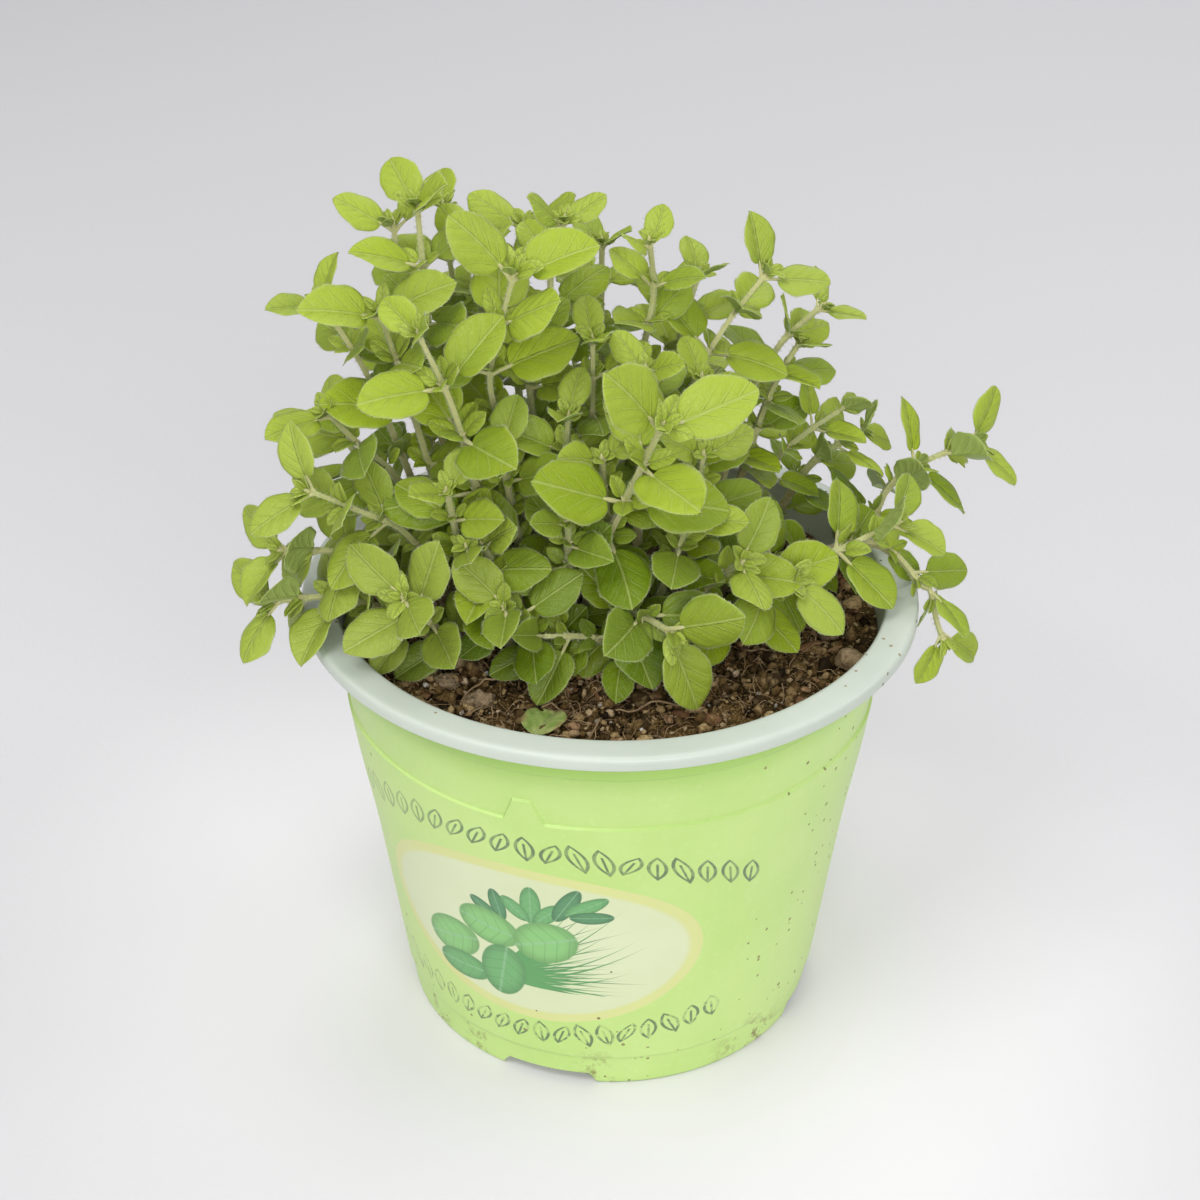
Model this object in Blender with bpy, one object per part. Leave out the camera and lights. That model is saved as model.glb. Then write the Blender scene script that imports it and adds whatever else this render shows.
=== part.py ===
"""Potted oregano: a bushy young plant in a tapered 13 cm nursery pot.

Metres, +Z up. The plant's right-hand side is +X and its front is -Y. The origin lies on the
surface that the pot stands on, under the middle of the whole object's bounding box.

Pieces: the pot, the soil, the bits that lie on the soil, and one solid for each shoot. A
shoot is a square stem with its pairs of leaves, which grew as one piece.
"""

import math

import bmesh
import bpy
from mathutils import Matrix, Quaternion, Vector
from mathutils.bvhtree import BVHTree

# ---------------------------------------------------------------- driving dimensions (metres)

RIM_DIAMETER = 0.130        # over the rolled rim
POT_HEIGHT = 0.100
BASE_DIAMETER = 0.0912      # over the foot
WALL = 0.0011
RIM_WIDTH = 0.0062          # rim flange, from the wall's outside to the rim's edge
RIM_DROP = 0.0029           # depth of the rim's turned-down skirt
COLLAR_HEIGHT = 0.0095      # thicker band just under the rim
COLLAR_STEP = 0.0007
RIDGE_Z = 0.077             # fine stacking ridge round the wall
RIDGE_STEP = 0.0005
FOOT_HEIGHT = 0.0085
FOOT_STEP = 0.0007
FOOT_RING = 0.0034          # width of the ring that the pot stands on
FLOOR_LIFT = 0.003          # underside of the floor above the table
ARCH_COUNT = 4              # drain arches cut through the foot ring
ARCH_WIDTH = 0.0205
ARCH_HEIGHT = 0.0026
ARCH_TURN = math.radians(-17.5)
DRAIN_COUNT = 8
DRAIN_DIAMETER = 0.008
DRAIN_CIRCLE = 0.062
CENTRE_DRAIN_DIAMETER = 0.003
EDGE_ROUND = 0.0006         # small chamfer on the rim's and the foot's outer edges
POT_SEGMENTS = 48           # round the pot and the soil, so that their flats face each other

FIT_GAP = 0.0003            # air between pieces that rest on each other
SOIL_BELOW_RIM = 0.0085
SOIL_ROUGHNESS = 0.0011
SOIL_RINGS = 5

PLANT_HEIGHT = 0.091        # tallest shoot above the soil
PLANT_REACH = 0.079         # longest shoot sideways from the pot's axis
LEAF_SIZE = 1.0             # all leaves together, 1 as grown
STEM_THICKNESS = 0.0019     # square stem at the soil
STEM_TIP_THICKNESS = 0.0009
STEM_SPACING = 0.0036       # least distance between the middles of two stems
STEM_RISE = 0.004           # a stem leaves the soil upright for this far
LEAF_THICKNESS = 0.00045
LEAF_CLEARANCE = 0.0004     # least air between a leaf and anything else
LEAF_ASPECT = 0.78          # width over length
PETIOLE_SHARE = 0.20        # leaf stalk, as a share of the blade's length
PETIOLE_WIDTH = 0.0008
LEAF_SAG = 0.16             # fall of the blade's tip, as a share of its length
SMALL_LEAF = 0.0070         # blades shorter than this have the plainest outline
LARGE_LEAF = 0.0115         # blades longer than this have the fullest outline

# The shoots, as grown by a plant 97 mm high that reaches 83 mm sideways. A stem runs from its
# foot (x, y) on the soil through points (x, y, height above the soil), all in millimetres.
# Then come its number of leaf pairs, its longest blade in millimetres, its top pair's length
# as a percentage of that, and the turn of its lowest pair about the stem in degrees.
TABLE_HEIGHT = 97.0
TABLE_REACH = 83.0
SHOOTS = {
    "shoot_front_left": ([(-22, -6), (-29, -12, 42), (-33, -16, 62), (-39, -18, 79)], 5, 17, 50, 120),
    "shoot_front": ([(-6, -10), (-3, -16, 24), (3, -24, 44), (10, -28, 63)], 5, 17, 95, 15),
    "shoot_tallest": ([(-25, 6), (-37, 4, 58), (-39, 5, 80), (-40, 6, 97)], 6, 13, 85, 30),
    "shoot_tall_left": ([(-30, 13), (-41, 13, 55), (-45, 15, 76), (-46, 17, 88)], 5, 13, 80, 15),
    "shoot_upper_left": ([(-31, 0), (-40, 2, 40), (-45, 1, 62), (-48, -2, 76)], 5, 16, 85, 20),
    "shoot_upper_middle": ([(-14, 2), (-25, -3, 56), (-24, -4, 70), (-20, -4, 86)], 6, 15, 95, 100),
    "shoot_inner_left": ([(-10, 8), (-17, 6, 48), (-17, 5, 66)], 5, 13, 70, 50),
    "shoot_left_high": ([(-36, 7), (-50, 8, 50), (-57, 8, 66), (-62, 8, 74)], 5, 12, 70, 25),
    "shoot_left": ([(-37, -2), (-46, 0, 34), (-53, -1, 43), (-60, -3, 53)], 5, 14, 80, 40),
    "shoot_pale_upper": ([(-33, -9), (-43, -13, 28), (-53, -17, 37), (-63, -19, 43)], 5, 14, 80, 35),
    "shoot_pale_middle": ([(-40, -9), (-49, -11, 19), (-58, -14, 25), (-70, -15, 26)], 5, 13, 80, 60),
    "shoot_pale_lower": ([(-38, -19), (-48, -19, 13), (-60, -18, 16), (-72, -18, 15)], 5, 13, 85, 45),
    "shoot_left_front": ([(-33, -21), (-40, -28, 18), (-43, -33, 25)], 4, 13, 90, 30),
    "shoot_front_mid_left": ([(-28, -14), (-32, -20, 30), (-34, -23, 45)], 5, 12, 70, 55),
    "shoot_low_left": ([(-22, -18), (-28, -24, 24), (-30, -27, 34)], 4, 13, 70, 10),
    "shoot_arched": ([(-15, -14), (-20, -19, 18), (-27, -25, 33)], 4, 13, 70, 70),
    "shoot_hanging_left": ([(-13, -24), (-18, -30, 17), (-22, -35, 24)], 4, 12, 90, 20),
    "shoot_lying": ([(5, -23), (-4, -28, 12), (-15, -32, 15)], 4, 12, 70, 60),
    "shoot_hanging_middle": ([(3, -17), (3, -26, 17), (7, -34, 21), (12, -38, 20)], 4, 14, 100, 15),
    "shoot_front_right": ([(8, -11), (13, -18, 24), (16, -22, 38)], 4, 13, 70, 80),
    "shoot_front_inner": ([(-8, -18), (-9, -23, 26), (-9, -27, 40)], 5, 11, 70, 40),
    "shoot_right_front": ([(14, -12), (21, -19, 20), (27, -25, 29)], 4, 13, 85, 0),
    "shoot_right_low": ([(23, -11), (31, -18, 18), (38, -22, 23)], 4, 13, 90, 50),
    "shoot_right_branch": ([(20, -3), (31, -9, 17), (44, -10, 21), (62, -5, 27)], 6, 13, 70, 25),
    "shoot_trailing": ([(34, 7), (47, 4, 14), (59, -1, 19), (68, -7, 12), (73, -11, 1)], 6, 11, 80, 0),
    "shoot_far_right": ([(43, 16), (57, 17, 11), (64, 25, 20), (73, 28, 25), (83, 30, 28)], 6, 12, 90, 70),
    "shoot_right_back": ([(38, 30), (41, 28, 15), (47, 28, 25), (57, 30, 31)], 5, 11, 70, 30),
    "shoot_right_curved": ([(29, 25), (37, 24, 26), (44, 24, 34), (52, 26, 39)], 5, 10, 70, 65),
    "shoot_right_upright": ([(25, 21), (30, 22, 26), (35, 22, 44), (41, 23, 57)], 6, 11, 70, 15),
    "shoot_upper_right": ([(20, 15), (30, 19, 44), (38, 22, 58), (46, 25, 65)], 6, 11, 70, 45),
    "shoot_right_high": ([(11, 9), (17, 13, 48), (24, 15, 64), (33, 16, 77)], 6, 13, 80, 75),
    "shoot_back_right_high": ([(9, 19), (14, 22, 52), (19, 25, 73)], 6, 12, 70, 20),
    "shoot_middle_high": ([(2, 13), (6, 13, 54), (9, 14, 72), (8, 14, 85)], 7, 11, 70, 60),
    "shoot_centre_high": ([(-8, 15), (-11, 12, 58), (-13, 12, 76), (-10, 12, 91)], 7, 12, 70, 35),
    "shoot_centre": ([(-4, 4), (-4, 1, 46), (-4, 0, 69)], 6, 12, 70, 10),
    "shoot_centre_right": ([(5, -2), (7, -5, 46), (7, -8, 66)], 6, 11, 70, 55),
    "shoot_inner_right": ([(13, 2), (17, 1, 40), (19, 0, 60)], 6, 11, 70, 25),
    "shoot_inner_front": ([(-11, -4), (-10, -9, 38), (-9, -12, 57)], 5, 12, 70, 80),
    "shoot_inner_middle": ([(1, -7), (-1, -14, 34), (-2, -18, 50)], 5, 12, 70, 30),
    "shoot_left_middle": ([(-17, -7), (-21, -12, 34), (-23, -16, 51)], 5, 13, 70, 65),
    "shoot_right_middle": ([(13, -5), (17, -12, 34), (19, -16, 50)], 5, 12, 70, 15),
    "shoot_back_left_high": ([(-20, 13), (-27, 16, 62), (-29, 17, 84)], 6, 13, 70, 50),
    "shoot_back_tallest": ([(-27, 21), (-34, 25, 66), (-36, 27, 88)], 6, 12, 75, 5),
    "shoot_back_middle": ([(-14, 22), (-18, 26, 60), (-19, 28, 83)], 6, 13, 80, 75),
    "shoot_back_centre": ([(0, 27), (-2, 34, 52), (-2, 37, 75)], 6, 11, 70, 40),
    "shoot_back_right": ([(13, 30), (13, 38, 42), (12, 42, 61)], 5, 12, 70, 20),
    "shoot_back_left": ([(-17, 33), (-22, 42, 42), (-25, 47, 61)], 5, 13, 70, 60),
    "shoot_far_left_back": ([(-33, 26), (-44, 34, 34), (-51, 39, 52)], 5, 13, 70, 35),
    "shoot_back_low": ([(-3, 40), (-6, 51, 26), (-9, 59, 37)], 5, 12, 70, 70),
    "shoot_low_right_back": ([(24, 36), (29, 46, 24), (33, 53, 34)], 5, 12, 70, 10),
    "shoot_left_back": ([(-43, 14), (-54, 20, 25), (-64, 25, 38)], 5, 13, 70, 55),
}

# Small things on the soil: place (x, y) and half-sizes (x, y, z) in millimetres, turn about Z
# in degrees, and the seed of their lumps.
CRUMBS = {
    "stone_tan": ((49.5, -20, 3.6, 2.6, 1.9), 15, 3),
    "clod_right": ((45.5, -9, 2.3, 2.0, 1.5), 40, 8),
    "clod_left": ((-33, -28, 2.6, 2.2, 1.6), -20, 21),
    "clod_front": ((-26, -35, 3.2, 2.2, 1.6), 10, 34),
    "bark_chip": ((20, -40, 2.7, 1.7, 1.0), -30, 55),
}
FALLEN_LEAF_PLACE = (-13.0, -43.0)
FALLEN_LEAF_TURN = math.radians(62)
FALLEN_LEAF_LENGTH = 0.0098

CUT_MARGIN = 0.001          # how far a cutter runs past what it cuts
ARCH_HOLLOW = 0.006         # how far an arch's cutter runs in under the floor

# ---------------------------------------------------------------- sizes that follow

RIM_RADIUS = RIM_DIAMETER / 2
BASE_RADIUS = BASE_DIAMETER / 2
WALL_TOP_RADIUS = RIM_RADIUS - RIM_WIDTH
SOIL_TOP_Z = POT_HEIGHT - SOIL_BELOW_RIM
SOIL_BOTTOM_Z = FLOOR_LIFT + WALL + FIT_GAP
UP = Vector((0, 0, 1))
WINDOW = Vector((0.05, -1, 0))      # the side that the plant grew towards


def wall_radius(z):
    """Outside of the plain cone of the pot's wall at height z."""
    share = z / (POT_HEIGHT - RIM_DROP)
    return BASE_RADIUS + (WALL_TOP_RADIUS - BASE_RADIUS) * share


def soil_radius(z):
    """The root ball fills the pot, short of the fit gap to the wall's inside."""
    return wall_radius(z) - WALL - FIT_GAP


def soil_height(x, y):
    """Top of the soil: gentle lumps that die out at the pot's wall."""
    lumps = math.sin(95 * x + 1.3) * math.cos(120 * y + 0.4)
    lumps += 0.5 * math.sin(120 * x - 75 * y)
    edge = min(1.0, math.hypot(x, y) / soil_radius(SOIL_TOP_Z))
    return SOIL_TOP_Z + SOIL_ROUGHNESS * lumps * (1 - edge ** 4)


# ---------------------------------------------------------------- helpers

def material(name, colour, roughness):
    """A plain Principled material, shared by all pieces that name it."""
    found = bpy.data.materials.get(name)
    if found:
        return found
    made = bpy.data.materials.new(name)
    made.use_nodes = True
    shader = made.node_tree.nodes["Principled BSDF"]
    shader.inputs["Base Color"].default_value = (*colour, 1)
    shader.inputs["Roughness"].default_value = roughness
    shader.inputs["Metallic"].default_value = 0.0
    return made


def add_object(name, mesh_points, faces, finish, parent, smooth=False):
    """A new object under the parent, from points and faces, with its faces pointing out."""
    mesh = bpy.data.meshes.new(name)
    mesh.from_pydata([tuple(p) for p in mesh_points], [], faces)
    work = bmesh.new()
    work.from_mesh(mesh)
    bmesh.ops.recalc_face_normals(work, faces=work.faces)
    work.to_mesh(mesh)
    work.free()
    mesh.materials.append(finish)
    if smooth:
        mesh.shade_smooth()
        mesh.set_sharp_from_angle(angle=math.radians(40))
    made = bpy.data.objects.new(name, mesh)
    bpy.context.scene.collection.objects.link(made)
    made.parent = parent
    return made


def ring_faces(first, second, count):
    """Quads between two rings of count points, whose first points are first and second."""
    quads = []
    for i in range(count):
        j = (i + 1) % count
        quads.append((first + i, first + j, second + j, second + i))
    return quads


def turned(profile, segments):
    """Points and faces of a ring-shaped solid: a closed (radius, z) outline turned about Z."""
    points = []
    for radius, z in profile:
        for i in range(segments):
            angle = 2 * math.pi * i / segments
            points.append((radius * math.cos(angle), radius * math.sin(angle), z))
    faces = []
    for k in range(len(profile)):
        faces += ring_faces(k * segments, (k + 1) % len(profile) * segments, segments)
    return points, faces


# ---------------------------------------------------------------- pot

def pot_profile():
    """Closed outline of the pot's wall, rim, foot and floor, short of the floor's middle."""
    collar_z = POT_HEIGHT - COLLAR_HEIGHT
    rim_under = POT_HEIGHT - WALL
    skirt_z = POT_HEIGHT - RIM_DROP
    outside = [
        (RIM_RADIUS - EDGE_ROUND, POT_HEIGHT),
        (RIM_RADIUS, POT_HEIGHT - EDGE_ROUND),
        (RIM_RADIUS, skirt_z),
        (RIM_RADIUS - WALL, skirt_z),
        (RIM_RADIUS - WALL, rim_under),
        (wall_radius(rim_under) + COLLAR_STEP, rim_under),
        (wall_radius(collar_z) + COLLAR_STEP, collar_z),
        (wall_radius(collar_z), collar_z - COLLAR_STEP),
        (wall_radius(RIDGE_Z + RIDGE_STEP), RIDGE_Z + RIDGE_STEP),
        (wall_radius(RIDGE_Z) + RIDGE_STEP, RIDGE_Z),
        (wall_radius(RIDGE_Z - RIDGE_STEP), RIDGE_Z - RIDGE_STEP),
        (wall_radius(FOOT_HEIGHT), FOOT_HEIGHT),
        (wall_radius(FOOT_HEIGHT) - FOOT_STEP, FOOT_HEIGHT - FOOT_STEP),
        (BASE_RADIUS - FOOT_STEP / 2, EDGE_ROUND),
        (BASE_RADIUS - FOOT_STEP / 2 - EDGE_ROUND, 0.0),
    ]
    inside = [
        (BASE_RADIUS - FOOT_RING, 0.0),
        (BASE_RADIUS - FOOT_RING, FLOOR_LIFT),
        (CENTRE_DRAIN_DIAMETER / 2, FLOOR_LIFT),
        (CENTRE_DRAIN_DIAMETER / 2, FLOOR_LIFT + WALL),
        (wall_radius(FLOOR_LIFT + WALL) - WALL, FLOOR_LIFT + WALL),
        (wall_radius(rim_under) - WALL, rim_under),
        (wall_radius(POT_HEIGHT) - WALL, POT_HEIGHT),
    ]
    return outside + inside


def cutter(name, points, faces, parent):
    """A guide solid that another piece is cut with."""
    made = add_object(name, points, faces, material("guide", (1, 0, 0), 0.5), parent)
    made.hide_render = True
    made.display_type = "WIRE"
    return made


def box_points(low, high):
    """The eight corners of a box, and its six faces."""
    xs, ys, zs = zip(low, high)
    points = [(x, y, z) for z in zs for y in ys for x in xs]
    faces = [(0, 1, 3, 2), (4, 6, 7, 5), (0, 4, 5, 1), (2, 3, 7, 6), (0, 2, 6, 4), (1, 5, 7, 3)]
    return points, faces


def arch_cutters(parent):
    """Boxes through the foot ring, one at each drain arch."""
    points = []
    faces = []
    low = (-ARCH_WIDTH / 2, -(BASE_RADIUS + CUT_MARGIN), -CUT_MARGIN)
    high = (ARCH_WIDTH / 2, -(BASE_RADIUS - FOOT_RING - ARCH_HOLLOW), ARCH_HEIGHT)
    for i in range(ARCH_COUNT):
        turn = Matrix.Rotation(ARCH_TURN + 2 * math.pi * i / ARCH_COUNT, 3, "Z")
        corners, sides = box_points(low, high)
        faces += [tuple(len(points) + k for k in side) for side in sides]
        points += [turn @ Vector(corner) for corner in corners]
    return cutter("guide_arches", points, faces, parent)


def drain_cutters(parent):
    """Upright cylinders through the floor, one at each drain hole."""
    points = []
    faces = []
    sides = 16
    for i in range(DRAIN_COUNT):
        angle = 2 * math.pi * (i + 0.5) / DRAIN_COUNT
        centre = Vector((math.cos(angle), math.sin(angle), 0)) * DRAIN_CIRCLE / 2
        start = len(points)
        for z in (FLOOR_LIFT - CUT_MARGIN, FLOOR_LIFT + WALL + CUT_MARGIN):
            for k in range(sides):
                around = 2 * math.pi * k / sides
                spoke = Vector((math.cos(around), math.sin(around), 0)) * DRAIN_DIAMETER / 2
                points.append(centre + spoke + UP * z)
        faces += ring_faces(start, start + sides, sides)
        faces.append(tuple(start + k for k in range(sides)))
        faces.append(tuple(start + sides + k for k in range(sides)))
    return cutter("guide_drains", points, faces, parent)


def make_pot(parent):
    """The pot: a turned thin wall with drain holes and foot arches cut out of it."""
    points, faces = turned(pot_profile(), POT_SEGMENTS)
    finish = material("pot_green", (0.56, 0.80, 0.24), 0.42)
    pot = add_object("pot", points, faces, finish, parent, smooth=True)
    for guide in (arch_cutters(parent), drain_cutters(parent)):
        cut = pot.modifiers.new(guide.name, "BOOLEAN")
        cut.operation = "DIFFERENCE"
        cut.object = guide
        cut.solver = "EXACT"
    return pot


# ---------------------------------------------------------------- soil and what lies on it

def make_soil(parent):
    """The root ball: a tapered plug with a lumpy top."""
    top = soil_radius(SOIL_TOP_Z)
    points = [(0, 0, SOIL_BOTTOM_Z)]
    rings = [(soil_radius(SOIL_BOTTOM_Z), SOIL_BOTTOM_Z)]
    rings += [(top * k / SOIL_RINGS, None) for k in range(SOIL_RINGS, 0, -1)]
    for radius, z in rings:
        for i in range(POT_SEGMENTS):
            angle = 2 * math.pi * i / POT_SEGMENTS
            x, y = radius * math.cos(angle), radius * math.sin(angle)
            points.append((x, y, z or soil_height(x, y)))
    points.append((0, 0, soil_height(0, 0)))
    faces = [(0, 1 + (i + 1) % POT_SEGMENTS, 1 + i) for i in range(POT_SEGMENTS)]
    for k in range(len(rings) - 1):
        faces += ring_faces(1 + k * POT_SEGMENTS, 1 + (k + 1) * POT_SEGMENTS, POT_SEGMENTS)
    last = 1 + (len(rings) - 1) * POT_SEGMENTS
    hub = len(points) - 1
    faces += [(last + i, last + (i + 1) % POT_SEGMENTS, hub) for i in range(POT_SEGMENTS)]
    finish = material("soil_mix", (0.09, 0.055, 0.03), 0.95)
    return add_object("soil", points, faces, finish, parent)


def highest_soil(x, y, reach):
    """Highest soil within reach of a point, with the fit gap on top."""
    steps = range(-3, 4)
    heights = [soil_height(x + i * reach / 3, y + j * reach / 3) for i in steps for j in steps]
    return max(heights) + FIT_GAP


def make_crumb(name, sizes, turn, seed, parent):
    """A stone, clod or chip: a lumpy ball, flattened, resting on the soil."""
    x, y, *halves = (value / 1000 for value in sizes)
    work = bmesh.new()
    bmesh.ops.create_icosphere(work, subdivisions=1, radius=1.0)
    for vert in work.verts:
        p = vert.co
        lump = math.sin(3.1 * p.x + seed) + math.cos(2.7 * p.y - 2 * seed) + math.sin(3.7 * p.z + seed)
        vert.co = p * (1 + 0.07 * lump)
        vert.co = Vector(vert.co[i] * halves[i] for i in range(3))
    bmesh.ops.rotate(work, verts=work.verts, matrix=Matrix.Rotation(math.radians(turn), 3, "Z"))
    lowest = min(vert.co.z for vert in work.verts)
    points = [vert.co.copy() for vert in work.verts]
    faces = [tuple(vert.index for vert in face.verts) for face in work.faces]
    work.free()
    place = Vector((x, y, highest_soil(x, y, max(halves)) - lowest))
    tan = name == "stone_tan"
    finish = material("stone" if tan else "clod", (0.50, 0.36, 0.20) if tan else (0.16, 0.10, 0.06), 0.9)
    return add_object(name, [p + place for p in points], faces, finish, parent)


def make_fallen_leaf(parent):
    """A shed leaf that lies on the soil with its edges curled up."""
    length = FALLEN_LEAF_LENGTH
    half_width = length * 0.36
    x, y = (value / 1000 for value in FALLEN_LEAF_PLACE)
    turn = Matrix.Rotation(FALLEN_LEAF_TURN, 3, "Z")
    level = highest_soil(x, y, length * 0.5)
    stations = [(-0.5, 0.12), (-0.2, 0.85), (0.15, 1.0), (0.42, 0.5), (0.5, 0.1)]
    points = []
    for along, width in stations:
        for side, lift in ((-1, 0.9), (0, 0.0), (1, 0.9)):
            for layer in (0, 1):
                rise = lift * width * 0.0016 + layer * LEAF_THICKNESS
                local = Vector((along * length, side * width * half_width, rise))
                points.append(turn @ local + Vector((x, y, level)))
    faces = []
    for k in range(len(stations) - 1):
        a, b = 6 * k, 6 * (k + 1)
        for low, high in ((0, 2), (2, 4)):
            faces.append((a + low, a + high, b + high, b + low))
            faces.append((a + low + 1, a + high + 1, b + high + 1, b + low + 1))
        faces.append((a, a + 1, b + 1, b))
        faces.append((a + 4, a + 5, b + 5, b + 4))
    for end in (0, 6 * (len(stations) - 1)):
        faces.append((end, end + 2, end + 3, end + 1))
        faces.append((end + 2, end + 4, end + 5, end + 3))
    finish = material("fallen_leaf", (0.30, 0.38, 0.12), 0.7)
    return add_object("fallen_leaf", points, faces, finish, parent)


# ---------------------------------------------------------------- stems

STEM_SAMPLES = 15


def smooth_path(points, count):
    """Evenly spaced points on a smooth curve through the given ones."""
    ends = [points[0] * 2 - points[1], *points, points[-1] * 2 - points[-2]]
    fine = []
    steps = 12
    for a, b, c, d in zip(ends, ends[1:], ends[2:], ends[3:]):
        for k in range(steps):
            t = k / steps
            fine.append(
                b + (c - a) * (t / 2) + (a * 2 - b * 5 + c * 4 - d) * (t * t / 2)
                + (b * 3 - a - c * 3 + d) * (t ** 3 / 2)
            )
    fine.append(points[-1].copy())
    lengths = [0.0]
    for p, q in zip(fine, fine[1:]):
        lengths.append(lengths[-1] + (q - p).length)
    even = []
    k = 0
    for i in range(count):
        want = lengths[-1] * i / (count - 1)
        while k < len(fine) - 2 and lengths[k + 1] < want:
            k += 1
        share = (want - lengths[k]) / max(lengths[k + 1] - lengths[k], 1e-9)
        even.append(fine[k].lerp(fine[k + 1], min(1.0, share)))
    return even


def stem_paths():
    """Every stem's middle line. Stems that come too close push each other aside."""
    paths = []
    sideways = PLANT_REACH / TABLE_REACH
    upwards = PLANT_HEIGHT / TABLE_HEIGHT
    for points, *_ in SHOOTS.values():
        foot = Vector((points[0][0] * sideways, points[0][1] * sideways, 0))
        foot.z = highest_soil(foot.x, foot.y, STEM_THICKNESS)
        route = [foot, foot + UP * STEM_RISE]
        for x, y, height in points[1:]:
            route.append(Vector((x * sideways, y * sideways, SOIL_TOP_Z + height * upwards)))
        paths.append(smooth_path(route, STEM_SAMPLES))
    for _ in range(40):
        for i, first in enumerate(paths):
            for second in paths[i + 1:]:
                if (first[0] - second[0]).length > 0.09:
                    continue
                part_stems(first, second)
        for path in paths:
            lift_stem(path)
    return paths


def lift_stem(path):
    """Keep a stem's points above the soil, and above the rim where it crosses it."""
    clear = STEM_THICKNESS * 1.3
    for point in path[1:]:
        away = math.hypot(point.x, point.y)
        if away < soil_radius(SOIL_TOP_Z):
            point.z = max(point.z, soil_height(point.x, point.y) + clear)
        if abs(away - (WALL_TOP_RADIUS + RIM_RADIUS) / 2) < RIM_WIDTH / 2 + clear:
            point.z = max(point.z, POT_HEIGHT + clear)


def part_stems(first, second):
    """Move two stems' points apart where they are closer than the stem spacing."""
    for p in first[1:]:
        for q in second[1:]:
            apart = p - q
            gap = apart.length
            if gap < STEM_SPACING:
                push = apart * ((STEM_SPACING - gap) / (2 * max(gap, 1e-6)))
                p += push
                q -= push


def path_frames(path, turn):
    """A tangent and two side directions at each point, from an upright foot, without twisting."""
    frames = []
    side = Vector((math.cos(turn), math.sin(turn), 0))
    for i in range(len(path)):
        ahead = path[min(i + 1, len(path) - 1)] - path[i - 1] if i else UP
        tangent = ahead.normalized()
        side = (side - tangent * side.dot(tangent)).normalized()
        frames.append((tangent, side.copy(), tangent.cross(side)))
    return frames


# ---------------------------------------------------------------- leaves

# Ways that a leaf may turn to find room: about the stem and up from it in degrees, and its size.
LEAF_POSES = [
    (0, 0, 1.0), (12, 0, 1.0), (-12, 0, 1.0), (0, 16, 1.0), (0, -16, 1.0), (20, 16, 1.0),
    (-20, 16, 1.0), (24, -14, 1.0), (-24, -14, 1.0), (0, 34, 0.95), (30, 30, 0.9),
    (-30, 30, 0.9), (0, 0, 0.8), (18, 24, 0.8), (-18, 24, 0.8), (34, 0, 0.8), (-34, 0, 0.8),
    (0, 50, 0.75), (0, 0, 0.62), (22, 34, 0.62), (-22, 34, 0.62), (0, 62, 0.55), (0, 30, 0.45),
]


class Leaf:
    """One leaf's place: its root on the stem, the way it runs and the way it faces."""

    def __init__(self, root, tangent, lateral, length, lean, pose):
        turn, rise, size = pose
        self.root = root
        self.length = length * size
        self.petiole = self.length * PETIOLE_SHARE + 0.0006
        side = Quaternion(tangent, math.radians(turn)) @ lateral
        lift = math.radians(lean + rise)
        self.run = (side * math.cos(lift) + tangent * math.sin(lift) - UP * 0.12).normalized()
        outward = Vector((root.x, root.y, 0)) / 0.045
        light = tangent * 0.3 + UP * 0.6 + outward * 0.4 + WINDOW * 0.55
        self.face = (light - self.run * light.dot(self.run)).normalized()
        self.across = self.run.cross(self.face)

    def centre(self, share):
        """Point of the blade's middle line; a share of 0 is its base and 1 its tip."""
        along = self.run * (self.petiole + self.length * share)
        return self.root + along - self.face * (self.length * LEAF_SAG * share * share)

    def section(self, share, width, grow=0.0):
        """Four corners of the blade's cross-section."""
        half = width / 2 + grow
        thick = LEAF_THICKNESS / 2 + grow
        middle = self.centre(share)
        return [
            middle - self.across * half - self.face * thick,
            middle + self.across * half - self.face * thick,
            middle + self.across * half + self.face * thick,
            middle - self.across * half + self.face * thick,
        ]

    def sections(self, grow=0.0):
        """Cross-sections from the stalk's end towards the tip."""
        wide = self.length * LEAF_ASPECT
        stations = [(0.0, PETIOLE_WIDTH), (0.42, wide)]
        if self.length < SMALL_LEAF:
            stations = [(0.4, wide)]
        if self.length > LARGE_LEAF:
            stations = [(0.0, PETIOLE_WIDTH), (0.3, wide * 0.94), (0.7, wide * 0.74)]
        return [self.section(share, width, grow) for share, width in stations]

    def stalk(self, grow):
        """Cross-section of the stalk, just clear of its own stem."""
        clear = self.run * (LEAF_CLEARANCE + PETIOLE_WIDTH)
        shift = self.root + clear - self.centre(0.0)
        return [corner + shift for corner in self.section(0.0, PETIOLE_WIDTH, grow)]

    def tip(self, grow=0.0):
        return self.centre(1.0) + self.run * grow

    def tree(self, grow=0.0):
        """The blade as a search tree, grown on all sides."""
        points = self.stalk(grow)
        points += [p for section in self.sections(grow) for p in section]
        count = len(points) // 4
        faces = [(3, 2, 1, 0)]
        for k in range(count - 1):
            faces += ring_faces(4 * k, 4 * k + 4, 4)
        last = 4 * (count - 1)
        faces += [(last + i, last + (i + 1) % 4, 4 * count) for i in range(4)]
        points.append(self.tip(grow))
        return BVHTree.FromPolygons(points, faces)


def node_shares(pairs):
    """Where the leaf pairs sit along the stem, closer together towards the tip."""
    first = 0.26
    return [first + (0.985 - first) * (k / (pairs - 1)) ** 0.82 for k in range(pairs)]


def leaf_length(share, longest, crown):
    """Leaves grow longer up the shoot, to three quarters of its length, and then shorter."""
    peak = 0.75
    if share < peak:
        return longest * (0.66 + 0.34 * share / peak)
    return longest * (1 + (crown - 1) * (share - peak) / (1 - peak))


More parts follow.
